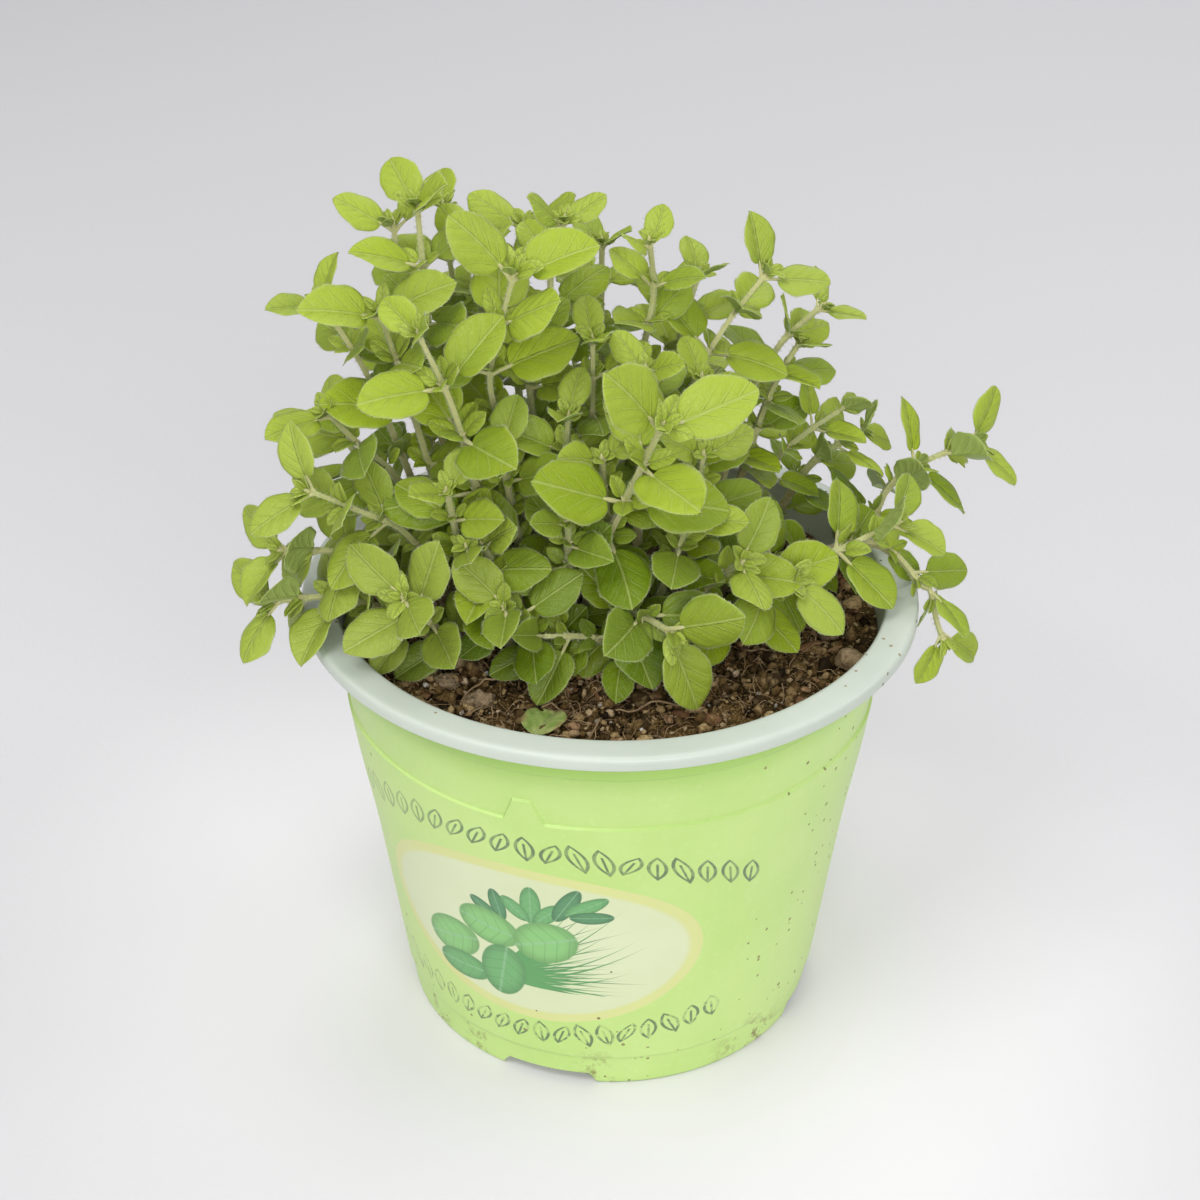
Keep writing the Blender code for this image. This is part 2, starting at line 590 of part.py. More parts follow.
class Shoot:
    """A stem with its rings of corners, and the leaves that stand on its nodes."""

    def __init__(self, path, pairs, longest, crown, turn):
        self.path = path
        self.crown = crown
        self.frames = path_frames(path, math.radians(turn))
        self.leaves = []
        self.shares = node_shares(pairs)
        self.longest = longest
        self.length = sum((q - p).length for p, q in zip(path, path[1:]))

    def at(self, share):
        """Middle, tangent and sides of the stem at a share of its length."""
        place = min(max(share, 0.0), 1.0) * (len(self.path) - 1)
        k = min(int(place), len(self.path) - 2)
        middle = self.path[k].lerp(self.path[k + 1], place - k)
        return (middle, *self.frames[k])

    def thickness(self, share):
        return STEM_THICKNESS + (STEM_TIP_THICKNESS - STEM_THICKNESS) * share

    def bud(self, grow=0.0):
        """Point that the stem ends in."""
        middle, tangent, _, _ = self.at(1.0)
        return middle + tangent * (STEM_TIP_THICKNESS + grow)

    def ring(self, share):
        """Four corners of the square stem."""
        middle, _, side, other = self.at(share)
        half = self.thickness(share) / 2
        corners = ((1, -1), (1, 1), (-1, 1), (-1, -1))
        return [middle + side * (half * a) + other * (half * b) for a, b in corners]

    def stations(self):
        """Shares at which the stem has a ring: below, between and on both sides of its nodes."""
        half = 0.45 * STEM_TIP_THICKNESS / self.length
        rings = [(0.0, None), (self.shares[0] / 2, None)]
        for k, share in enumerate(self.shares):
            rings.append((share - half, None))
            rings.append((share + half, k))
        return rings

    def tree(self, grow=0.0):
        """The bare stem as a search tree."""
        points = []
        count = len(self.path)
        for i in range(count):
            share = i / (count - 1)
            middle, _, side, other = self.at(share)
            half = self.thickness(share) / 2 + grow
            corners = ((1, -1), (1, 1), (-1, 1), (-1, -1))
            points += [middle + side * (half * a) + other * (half * b) for a, b in corners]
        faces = []
        for k in range(count - 1):
            faces += ring_faces(4 * k, 4 * k + 4, 4)
        last = 4 * (count - 1)
        faces += [(last + i, last + (i + 1) % 4, len(points)) for i in range(4)]
        points.append(self.bud(grow))
        return BVHTree.FromPolygons(points, faces)


def face_lateral(shoot, share, face):
    """Outward direction of one of the stem's four faces: 0 is the first side's."""
    _, _, side, other = shoot.at(share)
    return (side, other, -side, -other)[face]


def grow_leaves(shoots, fixed):
    """Give each node its two leaves, each in the first pose that touches nothing."""
    placed = [(tree, None) for tree in fixed]
    wide_stems = [shoot.tree(LEAF_CLEARANCE) for shoot in shoots]
    for i, shoot in enumerate(shoots):
        stems = wide_stems[:i] + [shoot.tree()] + wide_stems[i + 1:]
        for k, share in enumerate(shoot.shares):
            for face in ((0, 2) if k % 2 == 0 else (1, 3)):
                leaf = free_leaf(shoot, share, face, placed, stems)
                if leaf:
                    shoot.leaves.append((k, face, leaf))
                    placed.append((leaf.tree(), leaf))


def free_leaf(shoot, share, face, placed, stems):
    """The first pose of a leaf that is clear of everything, or nothing if none is."""
    middle, tangent, _, _ = shoot.at(share)
    lateral = face_lateral(shoot, share, face)
    root = middle + lateral * (shoot.thickness(share) / 2)
    length = leaf_length(share, shoot.longest, shoot.crown)
    lean = 20 + 28 * share ** 4
    for pose in LEAF_POSES:
        leaf = Leaf(root, tangent, lateral, length, lean, pose)
        grown = leaf.tree(LEAF_CLEARANCE)
        if any(grown.overlap(tree) for tree, other in placed if is_near(leaf, other)):
            continue
        if any(grown.overlap(tree) for tree in stems):
            continue
        return leaf
    return None


def is_near(leaf, other):
    """Whether two leaves are near enough to touch; fixed pieces always count as near."""
    if other is None:
        return True
    return (leaf.centre(0.5) - other.centre(0.5)).length < leaf.length + other.length


def make_shoot(name, shoot, parent):
    """One solid: the square stem, with each leaf drawn out of its face of the stem."""
    points = []
    faces = []
    stations = shoot.stations()
    leaves = {(k, face): leaf for k, face, leaf in shoot.leaves}
    for share, _ in stations:
        points += shoot.ring(share)
    faces.append((3, 2, 1, 0))
    for i in range(len(stations) - 1):
        node = stations[i + 1][1]
        for side, quad in enumerate(ring_faces(4 * i, 4 * i + 4, 4)):
            leaf = leaves.get((node, side)) if node is not None else None
            if leaf:
                add_leaf(points, faces, quad, leaf)
            else:
                faces.append(quad)
    last = 4 * (len(stations) - 1)
    points.append(shoot.bud())
    faces += [(last + i, last + (i + 1) % 4, len(points) - 1) for i in range(4)]
    finish = material("oregano_green", (0.27, 0.42, 0.07), 0.6)
    return add_object(name, points, faces, finish, parent)


def add_leaf(points, faces, quad, leaf):
    """Draw a leaf out of a quad of the stem, section by section to its tip."""
    ring = list(quad)
    for section in leaf.sections():
        ordered = match_order([points[i] for i in ring], section)
        start = len(points)
        points += ordered
        new = [start + i for i in range(4)]
        faces += [(ring[i], ring[(i + 1) % 4], new[(i + 1) % 4], new[i]) for i in range(4)]
        ring = new
    points.append(leaf.tip())
    faces += [(ring[i], ring[(i + 1) % 4], len(points) - 1) for i in range(4)]


def match_order(old, section):
    """Turn or flip a section's corners so that they lie nearest the old ring's corners."""
    best = None
    for order in (section, section[::-1]):
        for shift in range(4):
            tried = order[shift:] + order[:shift]
            far = sum((a - b).length for a, b in zip(old, tried))
            if best is None or far < best[0] - 1e-9:
                best = (far, tried)
    return best[1]


# ---------------------------------------------------------------- the whole object

def mesh_tree(made):
    """An object's own mesh as a search tree."""
    points = [vert.co for vert in made.data.vertices]
    faces = [tuple(face.vertices) for face in made.data.polygons]
    return BVHTree.FromPolygons(points, faces)


def centre_on_footprint(root, solids):
    """Move the root so that the bounding box's bottom centre is the origin."""
    xs = [vert.co.x for made in solids for vert in made.data.vertices]
    ys = [vert.co.y for made in solids for vert in made.data.vertices]
    root.location = (-(min(xs) + max(xs)) / 2, -(min(ys) + max(ys)) / 2, 0)


def main():
    for old in list(bpy.data.objects):
        bpy.data.objects.remove(old, do_unlink=True)
    root = bpy.data.objects.new("oregano", None)
    bpy.context.scene.collection.objects.link(root)
    fixed = [make_pot(root), make_soil(root)]
    for name, (sizes, turn, seed) in CRUMBS.items():
        fixed.append(make_crumb(name, sizes, turn, seed, root))
    fixed.append(make_fallen_leaf(root))
    shoots = []
    for path, (_, pairs, longest, crown, turn) in zip(stem_paths(), SHOOTS.values()):
        shoots.append(Shoot(path, pairs, longest / 1000 * LEAF_SIZE, crown / 100, turn))
    grow_leaves(shoots, [mesh_tree(made) for made in fixed])
    grown = [make_shoot(name, shoot, root) for name, shoot in zip(SHOOTS, shoots)]
    centre_on_footprint(root, fixed + grown)


main()
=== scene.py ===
"""Potted oregano: the looks. Fine pot, soil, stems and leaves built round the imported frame."""

import math
import random

import bmesh
import bpy
import numpy as np
from mathutils import Matrix, Quaternion, Vector, noise


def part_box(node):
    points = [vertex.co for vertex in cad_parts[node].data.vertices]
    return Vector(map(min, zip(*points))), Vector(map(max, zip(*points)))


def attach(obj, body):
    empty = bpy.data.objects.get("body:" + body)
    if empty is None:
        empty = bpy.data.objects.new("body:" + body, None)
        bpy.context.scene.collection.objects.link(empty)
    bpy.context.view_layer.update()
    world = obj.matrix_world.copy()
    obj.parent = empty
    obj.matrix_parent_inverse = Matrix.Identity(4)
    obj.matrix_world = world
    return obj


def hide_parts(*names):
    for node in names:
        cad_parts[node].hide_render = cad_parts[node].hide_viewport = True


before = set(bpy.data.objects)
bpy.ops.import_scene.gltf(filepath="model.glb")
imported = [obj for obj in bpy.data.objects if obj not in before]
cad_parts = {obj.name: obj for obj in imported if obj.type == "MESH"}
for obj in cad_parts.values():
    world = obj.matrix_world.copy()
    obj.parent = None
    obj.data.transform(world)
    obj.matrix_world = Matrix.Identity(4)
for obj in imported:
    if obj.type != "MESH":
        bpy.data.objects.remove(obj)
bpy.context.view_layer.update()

# ---------------------------------------------------------------- places, from the frame

UP = Vector((0, 0, 1))
POT_LOW, POT_HIGH = (Vector(corner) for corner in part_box("pot"))
AXIS = Vector(((POT_LOW.x + POT_HIGH.x) / 2, (POT_LOW.y + POT_HIGH.y) / 2, 0))
POT_HEIGHT = POT_HIGH.z
RIM_RADIUS = (POT_HIGH.x - POT_LOW.x) / 2

# ---------------------------------------------------------------- sizes, as in part.py (metres)

BASE_RADIUS = 0.0456
WALL = 0.0011
RIM_WIDTH = 0.0062
RIM_DROP = 0.0029
COLLAR_HEIGHT = 0.0095
COLLAR_STEP = 0.0007
RIDGE_Z = 0.077
FOOT_HEIGHT = 0.0085
FOOT_STEP = 0.0007
FOOT_RING = 0.0034
FLOOR_LIFT = 0.003
ARCH_COUNT = 4
ARCH_WIDTH = 0.0205
ARCH_HEIGHT = 0.0026
ARCH_TURN = math.radians(-17.5)
DRAIN_COUNT = 8
DRAIN_DIAMETER = 0.008
DRAIN_CIRCLE = 0.062

FIT_GAP = 0.0003
SOIL_BELOW_RIM = 0.0085
SOIL_ROUGHNESS = 0.0011

PLANT_HEIGHT = 0.091
PLANT_REACH = 0.079
STEM_THICKNESS = 0.0019
STEM_TIP_THICKNESS = 0.0009
STEM_SPACING = 0.0036
STEM_RISE = 0.004
LEAF_ASPECT = 0.78
PETIOLE_SHARE = 0.20
LEAF_SAG = 0.16
VEIN_SLOPE = 1.75           # side veins leave the midrib steeply and bow towards the tip
VEIN_ARCH = 1.6
VEIN_SPACING = 0.245
WINDOW = Vector((0.05, -1, 0))

TABLE_HEIGHT = 97.0
TABLE_REACH = 83.0
SHOOTS = {
    "shoot_front_left": ([(-22, -6), (-29, -12, 42), (-33, -16, 62), (-39, -18, 79)], 5, 17, 50, 120),
    "shoot_front": ([(-6, -10), (-3, -16, 24), (3, -24, 44), (10, -28, 63)], 5, 17, 95, 15),
    "shoot_tallest": ([(-25, 6), (-37, 4, 58), (-39, 5, 80), (-40, 6, 97)], 6, 13, 85, 30),
    "shoot_tall_left": ([(-30, 13), (-41, 13, 55), (-45, 15, 76), (-46, 17, 88)], 5, 13, 80, 15),
    "shoot_upper_left": ([(-31, 0), (-40, 2, 40), (-45, 1, 62), (-48, -2, 76)], 5, 16, 85, 20),
    "shoot_upper_middle": ([(-14, 2), (-25, -3, 56), (-24, -4, 70), (-20, -4, 86)], 6, 15, 95, 100),
    "shoot_inner_left": ([(-10, 8), (-17, 6, 48), (-17, 5, 66)], 5, 13, 70, 50),
    "shoot_left_high": ([(-36, 7), (-50, 8, 50), (-57, 8, 66), (-62, 8, 74)], 5, 12, 70, 25),
    "shoot_left": ([(-37, -2), (-46, 0, 34), (-53, -1, 43), (-60, -3, 53)], 5, 14, 80, 40),
    "shoot_pale_upper": ([(-33, -9), (-43, -13, 28), (-53, -17, 37), (-63, -19, 43)], 5, 14, 80, 35),
    "shoot_pale_middle": ([(-40, -9), (-49, -11, 19), (-58, -14, 25), (-70, -15, 26)], 5, 13, 80, 60),
    "shoot_pale_lower": ([(-38, -19), (-48, -19, 13), (-60, -18, 16), (-72, -18, 15)], 5, 13, 85, 45),
    "shoot_left_front": ([(-33, -21), (-40, -28, 18), (-43, -33, 25)], 4, 13, 90, 30),
    "shoot_front_mid_left": ([(-28, -14), (-32, -20, 30), (-34, -23, 45)], 5, 12, 70, 55),
    "shoot_low_left": ([(-22, -18), (-28, -24, 24), (-30, -27, 34)], 4, 13, 70, 10),
    "shoot_arched": ([(-15, -14), (-20, -19, 18), (-27, -25, 33)], 4, 13, 70, 70),
    "shoot_hanging_left": ([(-13, -24), (-18, -30, 17), (-22, -35, 24)], 4, 12, 90, 20),
    "shoot_lying": ([(5, -23), (-4, -28, 12), (-15, -32, 15)], 4, 12, 70, 60),
    "shoot_hanging_middle": ([(3, -17), (3, -26, 17), (7, -34, 21), (12, -38, 20)], 4, 14, 100, 15),
    "shoot_front_right": ([(8, -11), (13, -18, 24), (16, -22, 38)], 4, 13, 70, 80),
    "shoot_front_inner": ([(-8, -18), (-9, -23, 26), (-9, -27, 40)], 5, 11, 70, 40),
    "shoot_right_front": ([(14, -12), (21, -19, 20), (27, -25, 29)], 4, 13, 85, 0),
    "shoot_right_low": ([(23, -11), (31, -18, 18), (38, -22, 23)], 4, 13, 90, 50),
    "shoot_right_branch": ([(20, -3), (31, -9, 17), (44, -10, 21), (62, -5, 27)], 6, 13, 70, 25),
    "shoot_trailing": ([(34, 7), (47, 4, 14), (59, -1, 19), (68, -7, 12), (73, -11, 1)], 6, 11, 80, 0),
    "shoot_far_right": ([(43, 16), (57, 17, 11), (64, 25, 20), (73, 28, 25), (83, 30, 28)], 6, 12, 90, 70),
    "shoot_right_back": ([(38, 30), (41, 28, 15), (47, 28, 25), (57, 30, 31)], 5, 11, 70, 30),
    "shoot_right_curved": ([(29, 25), (37, 24, 26), (44, 24, 34), (52, 26, 39)], 5, 10, 70, 65),
    "shoot_right_upright": ([(25, 21), (30, 22, 26), (35, 22, 44), (41, 23, 57)], 6, 11, 70, 15),
    "shoot_upper_right": ([(20, 15), (30, 19, 44), (38, 22, 58), (46, 25, 65)], 6, 11, 70, 45),
    "shoot_right_high": ([(11, 9), (17, 13, 48), (24, 15, 64), (33, 16, 77)], 6, 13, 80, 75),
    "shoot_back_right_high": ([(9, 19), (14, 22, 52), (19, 25, 73)], 6, 12, 70, 20),
    "shoot_middle_high": ([(2, 13), (6, 13, 54), (9, 14, 72), (8, 14, 85)], 7, 11, 70, 60),
    "shoot_centre_high": ([(-8, 15), (-11, 12, 58), (-13, 12, 76), (-10, 12, 91)], 7, 12, 70, 35),
    "shoot_centre": ([(-4, 4), (-4, 1, 46), (-4, 0, 69)], 6, 12, 70, 10),
    "shoot_centre_right": ([(5, -2), (7, -5, 46), (7, -8, 66)], 6, 11, 70, 55),
    "shoot_inner_right": ([(13, 2), (17, 1, 40), (19, 0, 60)], 6, 11, 70, 25),
    "shoot_inner_front": ([(-11, -4), (-10, -9, 38), (-9, -12, 57)], 5, 12, 70, 80),
    "shoot_inner_middle": ([(1, -7), (-1, -14, 34), (-2, -18, 50)], 5, 12, 70, 30),
    "shoot_left_middle": ([(-17, -7), (-21, -12, 34), (-23, -16, 51)], 5, 13, 70, 65),
    "shoot_right_middle": ([(13, -5), (17, -12, 34), (19, -16, 50)], 5, 12, 70, 15),
    "shoot_back_left_high": ([(-20, 13), (-27, 16, 62), (-29, 17, 84)], 6, 13, 70, 50),
    "shoot_back_tallest": ([(-27, 21), (-34, 25, 66), (-36, 27, 88)], 6, 12, 75, 5),
    "shoot_back_middle": ([(-14, 22), (-18, 26, 60), (-19, 28, 83)], 6, 13, 80, 75),
    "shoot_back_centre": ([(0, 27), (-2, 34, 52), (-2, 37, 75)], 6, 11, 70, 40),
    "shoot_back_right": ([(13, 30), (13, 38, 42), (12, 42, 61)], 5, 12, 70, 20),
    "shoot_back_left": ([(-17, 33), (-22, 42, 42), (-25, 47, 61)], 5, 13, 70, 60),
    "shoot_far_left_back": ([(-33, 26), (-44, 34, 34), (-51, 39, 52)], 5, 13, 70, 35),
    "shoot_back_low": ([(-3, 40), (-6, 51, 26), (-9, 59, 37)], 5, 12, 70, 70),
    "shoot_low_right_back": ([(24, 36), (29, 46, 24), (33, 53, 34)], 5, 12, 70, 10),
    "shoot_left_back": ([(-43, 14), (-54, 20, 25), (-64, 25, 38)], 5, 13, 70, 55),
}

# ---------------------------------------------------------------- sizes of the fine detail

LEAF_THICKNESS = 0.00026
HAIR_RADIUS = 0.000036
STEM_HAIR = 0.00095         # length of the hairs on the stems
LEAF_HAIR = 0.00050         # and on the leaf margins
LEAF_HAIRS = 5200           # along each margin, per metre of leaf
STEM_HAIRS = 16             # per millimetre of stem
STEM_SIDES = 12
STEM_STEP = 0.0011          # between rings of a stem
STEM_ROOTED = 0.0025        # stems go this far down into the soil
LARGE_LEAF = 0.0075         # blades longer than this get the finer grid
SAME_TIP = 0.00025          # a leaf pose fits a solid that has a corner this close to its tip
SHOOT_SEED = 1000           # each shoot adds its own number
HAIR_SEED = 5000
HAIR_CORNERS = (0.0, 2.094, 4.189)      # thirds of a turn
HAIR_SUNK = 0.00005         # a hair starts this far under the skin
SOIL_RINGS = 150
SOIL_SEGMENTS = 420

BASE_TO_TOP = POT_HEIGHT - RIM_DROP
WALL_TOP_RADIUS = RIM_RADIUS - RIM_WIDTH
SOIL_TOP_Z = POT_HEIGHT - SOIL_BELOW_RIM
SOIL_BOTTOM_Z = FLOOR_LIFT + WALL + FIT_GAP


def wall_radius(z):
    """Outside of the plain cone of the pot's wall at height z."""
    return BASE_RADIUS + (WALL_TOP_RADIUS - BASE_RADIUS) * z / BASE_TO_TOP


def soil_radius(z):
    """Edge of the root ball at height z."""
    return wall_radius(z) - WALL - FIT_GAP


def soil_height(x, y):
    """Top of the soil: gentle lumps that die out at the pot's wall."""
    lumps = math.sin(95 * x + 1.3) * math.cos(120 * y + 0.4)
    lumps += 0.5 * math.sin(120 * x - 75 * y)
    edge = min(1.0, math.hypot(x, y) / soil_radius(SOIL_TOP_Z))
    return SOIL_TOP_Z + SOIL_ROUGHNESS * lumps * (1 - edge ** 4)


def highest_soil(x, y, reach):
    """Highest soil within reach of a point, with the fit gap on top."""
    steps = range(-3, 4)
    heights = [soil_height(x + i * reach / 3, y + j * reach / 3) for i in steps for j in steps]
    return max(heights) + FIT_GAP


# ---------------------------------------------------------------- meshes

class Build:
    """Collects points, faces and named point values for one mesh."""

    def __init__(self, *values):
        self.points = []
        self.faces = []
        self.count = 0
        self.values = {name: [] for name in values}

    def add(self, points, faces, **values):
        points = np.asarray(points, dtype=float).reshape(-1, 3)
        self.points.append(points)
        self.faces += [tuple(k + self.count for k in face) for face in faces]
        self.count += len(points)
        for name, store in self.values.items():
            store.append(np.broadcast_to(np.asarray(values.get(name, 0.0), dtype=float), len(points)))

    def finish(self, name, finish, sharp=None):
        """The object, standing on the pot's axis."""
        mesh = bpy.data.meshes.new(name)
        mesh.from_pydata(np.concatenate(self.points).tolist(), [], self.faces)
        for value, store in self.values.items():
            layer = mesh.attributes.new(value, "FLOAT", "POINT")
            layer.data.foreach_set("value", np.concatenate(store).astype(np.float32))
        mesh.shade_smooth()
        if sharp:
            mesh.set_sharp_from_angle(angle=math.radians(sharp))
        mesh.materials.append(finish)
        made = bpy.data.objects.new(name, mesh)
        bpy.context.scene.collection.objects.link(made)
        made.location = AXIS
        return made


def grid_faces(rows, columns, around=False):
    """Quads of a grid of points, row by row; around joins the last column to the first."""
    faces = []
    for i in range(rows - 1):
        for j in range(columns if around else columns - 1):
            k = (j + 1) % columns
            faces.append((i * columns + j, i * columns + k, (i + 1) * columns + k, (i + 1) * columns + j))
    return faces


def circle(count, shift=0.0):
    """Cosine and sine at even steps round a circle."""
    angles = [2 * math.pi * (k + shift) / count for k in range(count)]
    return [(math.cos(angle), math.sin(angle)) for angle in angles]


def tube_faces(rings, sides):
    """Quads between a tube's rings, and a cap on each end."""
    last = (rings - 1) * sides
    caps = [tuple(range(sides))[::-1], tuple(range(last, last + sides))]
    return grid_faces(rings, sides, around=True) + caps


def solid_corners(name, middle=Vector()):
    """Corner points of one of the frame's solids, from the pot's axis or another middle."""
    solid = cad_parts[name]
    corners = np.array([solid.matrix_world @ vert.co for vert in solid.data.vertices])
    return corners - np.array(AXIS + middle)


def solid_middle(name):
    low, high = (Vector(corner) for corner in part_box(name))
    return (low + high) / 2 - AXIS


def settle(piece, slot, *nodes):
    """The piece rides on the one body and hides the nodes that it stands for. The slot is not used."""
    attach(piece, "root")
    if nodes:
        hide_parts(*nodes)


# ---------------------------------------------------------------- node materials

class Finish:
    """A Principled material and short calls that build what feeds it."""

    def __init__(self, name):
        self.material = bpy.data.materials.new(name)
        self.material.use_nodes = True
        self.tree = self.material.node_tree
        self.shader = self.tree.nodes["Principled BSDF"]

    def node(self, kind, **settings):
        made = self.tree.nodes.new(kind)
        for key, value in settings.items():
            setattr(made, key, value)
        return made

    def plug(self, socket, value):
        """Links a socket to the value, or sets it."""
        if isinstance(value, bpy.types.NodeSocket):
            self.tree.links.new(value, socket)
        elif isinstance(value, tuple) and len(value) == 3 and socket.type == "RGBA":
            socket.default_value = (*value, 1)
        else:
            socket.default_value = value

    def math(self, operation, first, second=0.0):
        made = self.node("ShaderNodeMath", operation=operation)
        self.plug(made.inputs[0], first)
        self.plug(made.inputs[1], second)
        return made.outputs[0]

    def times(self, first, second):
        return self.math("MULTIPLY", first, second)

    def plus(self, first, second):
        return self.math("ADD", first, second)

    def minus(self, first, second):
        return self.math("SUBTRACT", first, second)

    def below(self, first, second):
        return self.math("LESS_THAN", first, second)

    def absolute(self, value):
        return self.math("ABSOLUTE", value)

    def span(self, value, low, high, to_low=0.0, to_high=1.0):
        """A smooth step of the value from low to high."""
        made = self.node("ShaderNodeMapRange", interpolation_type="SMOOTHSTEP")
        for socket, item in zip(made.inputs, (value, low, high, to_low, to_high)):
            self.plug(socket, item)
        return made.outputs[0]

    def mix(self, share, first, second):
        made = self.node("ShaderNodeMix", data_type="RGBA")
        self.plug(made.inputs[0], share)
        self.plug(made.inputs[6], first)
        self.plug(made.inputs[7], second)
        return made.outputs[2]

    def attribute(self, name):
        return self.node("ShaderNodeAttribute", attribute_name=name).outputs["Fac"]

    def place(self):
        return self.node("ShaderNodeTexCoord").outputs["Object"]

    def noise(self, scale, detail=3.0, roughness=0.55):
        made = self.node("ShaderNodeTexNoise")
        self.plug(made.inputs["Vector"], self.place())
        for key, value in (("Scale", scale), ("Detail", detail), ("Roughness", roughness)):
            made.inputs[key].default_value = value
        return made.outputs["Fac"]

    def cells(self, scale, feature="F1"):
        """Distance within each cell of a pattern."""
        made = self.node("ShaderNodeTexVoronoi", feature=feature)
        self.plug(made.inputs["Vector"], self.place())
        made.inputs["Scale"].default_value = scale
        return made.outputs["Distance"]

    def spots(self, scale):
        """Distance within each cell of a pattern, and the cell's three random numbers."""
        distance = self.cells(scale)
        pick = self.node("ShaderNodeSeparateColor")
        self.plug(pick.inputs[0], distance.node.outputs["Color"])
        return distance, pick.outputs

    def random(self, number):
        """A random number from 0 to 1 for each whole number."""
        white = self.node("ShaderNodeTexWhiteNoise", noise_dimensions="1D")
        self.plug(white.inputs["W"], number)
        return white.outputs["Value"]

    def bump(self, height, distance, strength=1.0):
        made = self.node("ShaderNodeBump")
        self.plug(made.inputs["Height"], height)
        made.inputs["Distance"].default_value = distance
        made.inputs["Strength"].default_value = strength
        return made.outputs["Normal"]

    def set(self, **values):
        """Sets or links the shader's sockets, named with _ for a space."""
        for key, value in values.items():
            self.plug(self.shader.inputs[key.replace("_", " ")], value)
        return self.material

    def let_light_through(self, colour, share, normal=None):
        """Mixes in light that comes from the far side."""
        glow = self.node("ShaderNodeBsdfTranslucent")
        self.plug(glow.inputs["Color"], colour)
        if normal:
            self.plug(glow.inputs["Normal"], normal)
        both = self.node("ShaderNodeMixShader")
        both.inputs[0].default_value = share
        self.plug(both.inputs[1], self.shader.outputs[0])
        self.plug(both.inputs[2], glow.outputs[0])
        self.plug(self.tree.nodes["Material Output"].inputs["Surface"], both.outputs[0])


def leaf_finish():
    """Hairy herb leaf: pale impressed veins, painted shade on the inner leaves, yellow-green young ones."""
    f = Finish("oregano_leaf")
    along, side = f.attribute("along"), f.attribute("side")
    tone, young = f.attribute("tone"), f.attribute("young")
    shade = f.attribute("deep")
    off = f.absolute(side)
    midrib = f.span(off, 0.008, 0.028, 1.0, 0.0)
    arch = f.minus(along, f.times(off, VEIN_SLOPE))
    arch = f.plus(arch, f.times(f.times(off, off), VEIN_ARCH))
    wobble = f.times(f.minus(f.noise(260, 2), 0.5), 0.05)
    band = f.math("FRACT", f.math("DIVIDE", f.plus(arch, f.plus(wobble, 1.0)), VEIN_SPACING))
    near = f.absolute(f.minus(band, 0.5))
    lateral = f.span(near, 0.385, 0.485)
    lateral = f.times(lateral, f.span(off, 0.0, 0.36, 1.0, 0.15))
    net = f.span(f.cells(1150, "DISTANCE_TO_EDGE"), 0.0, 0.11, 1.0, 0.0)
    veins = f.math("MAXIMUM", midrib, f.times(lateral, 0.52))
    patch = f.noise(70, 3)
    old = f.mix(tone, (0.110, 0.208, 0.002), (0.418, 0.555, 0.008))
    old = f.mix(f.span(patch, 0.35, 0.7, 0.0, 0.30), old, (0.42, 0.53, 0.018))
    base = f.mix(young, old, (0.482, 0.595, 0.085))
    # Painted shade: leaves deep inside the plant are darkened towards dark green.
    base = f.mix(shade, base, (0.048, 0.102, 0.002))
    mottled = f.mix(f.times(net, 0.13), base, (0.50, 0.61, 0.10))
    dots = f.span(f.cells(2100), 0.10, 0.26, 0.22, 0.0)
    mottled = f.mix(dots, mottled, (0.60, 0.68, 0.24))
    veined = f.mix(f.times(veins, 0.52), mottled, (0.54, 0.64, 0.18))
    fringe = f.times(f.span(f.attribute("edge"), 0.91, 1.0), 0.60)
    veined = f.mix(fringe, veined, (0.60, 0.68, 0.25))
    colour = f.mix(f.attribute("under"), veined, (0.44, 0.54, 0.16))
    down = f.noise(2600, 2)
    height = f.minus(f.times(down, 0.30), f.times(veins, 0.8))
    height = f.minus(height, f.times(net, 0.12))
    height = f.plus(height, f.times(f.noise(420, 2), 0.5))
    normal = f.bump(height, 0.00030, 1.0)
    f.set(Base_Color=colour, Normal=normal, Specular_IOR_Level=0.36, Sheen_Weight=0.02)
    f.set(Roughness=f.span(down, 0.3, 0.7, 0.27, 0.41), Sheen_Roughness=0.4)
    f.set(Sheen_Tint=(0.85, 0.95, 0.70))
    f.let_light_through(f.mix(0.6, colour, (0.58, 0.76, 0.03)), 0.24, normal)
    return f.material


def stem_finish():
    """Square herb stem: pale green above, tan and a little purple-brown below."""
    f = Finish("oregano_stem")
    share = f.attribute("along")
    brown = f.times(f.span(share, 0.0, 0.75, 1.0, 0.0), f.span(f.noise(120, 3), 0.3, 0.6))
    green = f.mix(f.attribute("tone"), (0.37, 0.40, 0.14), (0.54, 0.53, 0.23))
    colour = f.mix(brown, green, (0.36, 0.23, 0.12))
    streak = f.noise(900, 2)
    colour = f.mix(f.span(streak, 0.45, 0.7, 0.0, 0.35), colour, (0.55, 0.56, 0.33))
    normal = f.bump(f.plus(streak, f.noise(3000, 2)), 0.00015, 0.6)
    return f.set(Base_Color=colour, Normal=normal, Roughness=f.span(streak, 0.3, 0.7, 0.5, 0.7),
                 Sheen_Weight=0.3, Sheen_Roughness=0.4)


# ---------------------------------------------------------------- stems, as in part.py

STEM_SAMPLES = 15
PARTING_ROUNDS = 40
FEET_APART = 0.09           # stems whose feet are further apart are left alone
FIRST_NODE = 0.26           # shares of the stem's length: the lowest leaf pair, the highest one,
LAST_NODE = 0.985
LONGEST_AT = 0.75           # and the place of the longest leaves
LOWEST_LEAF = 0.66          # size of a leaf at the foot, to the longest one


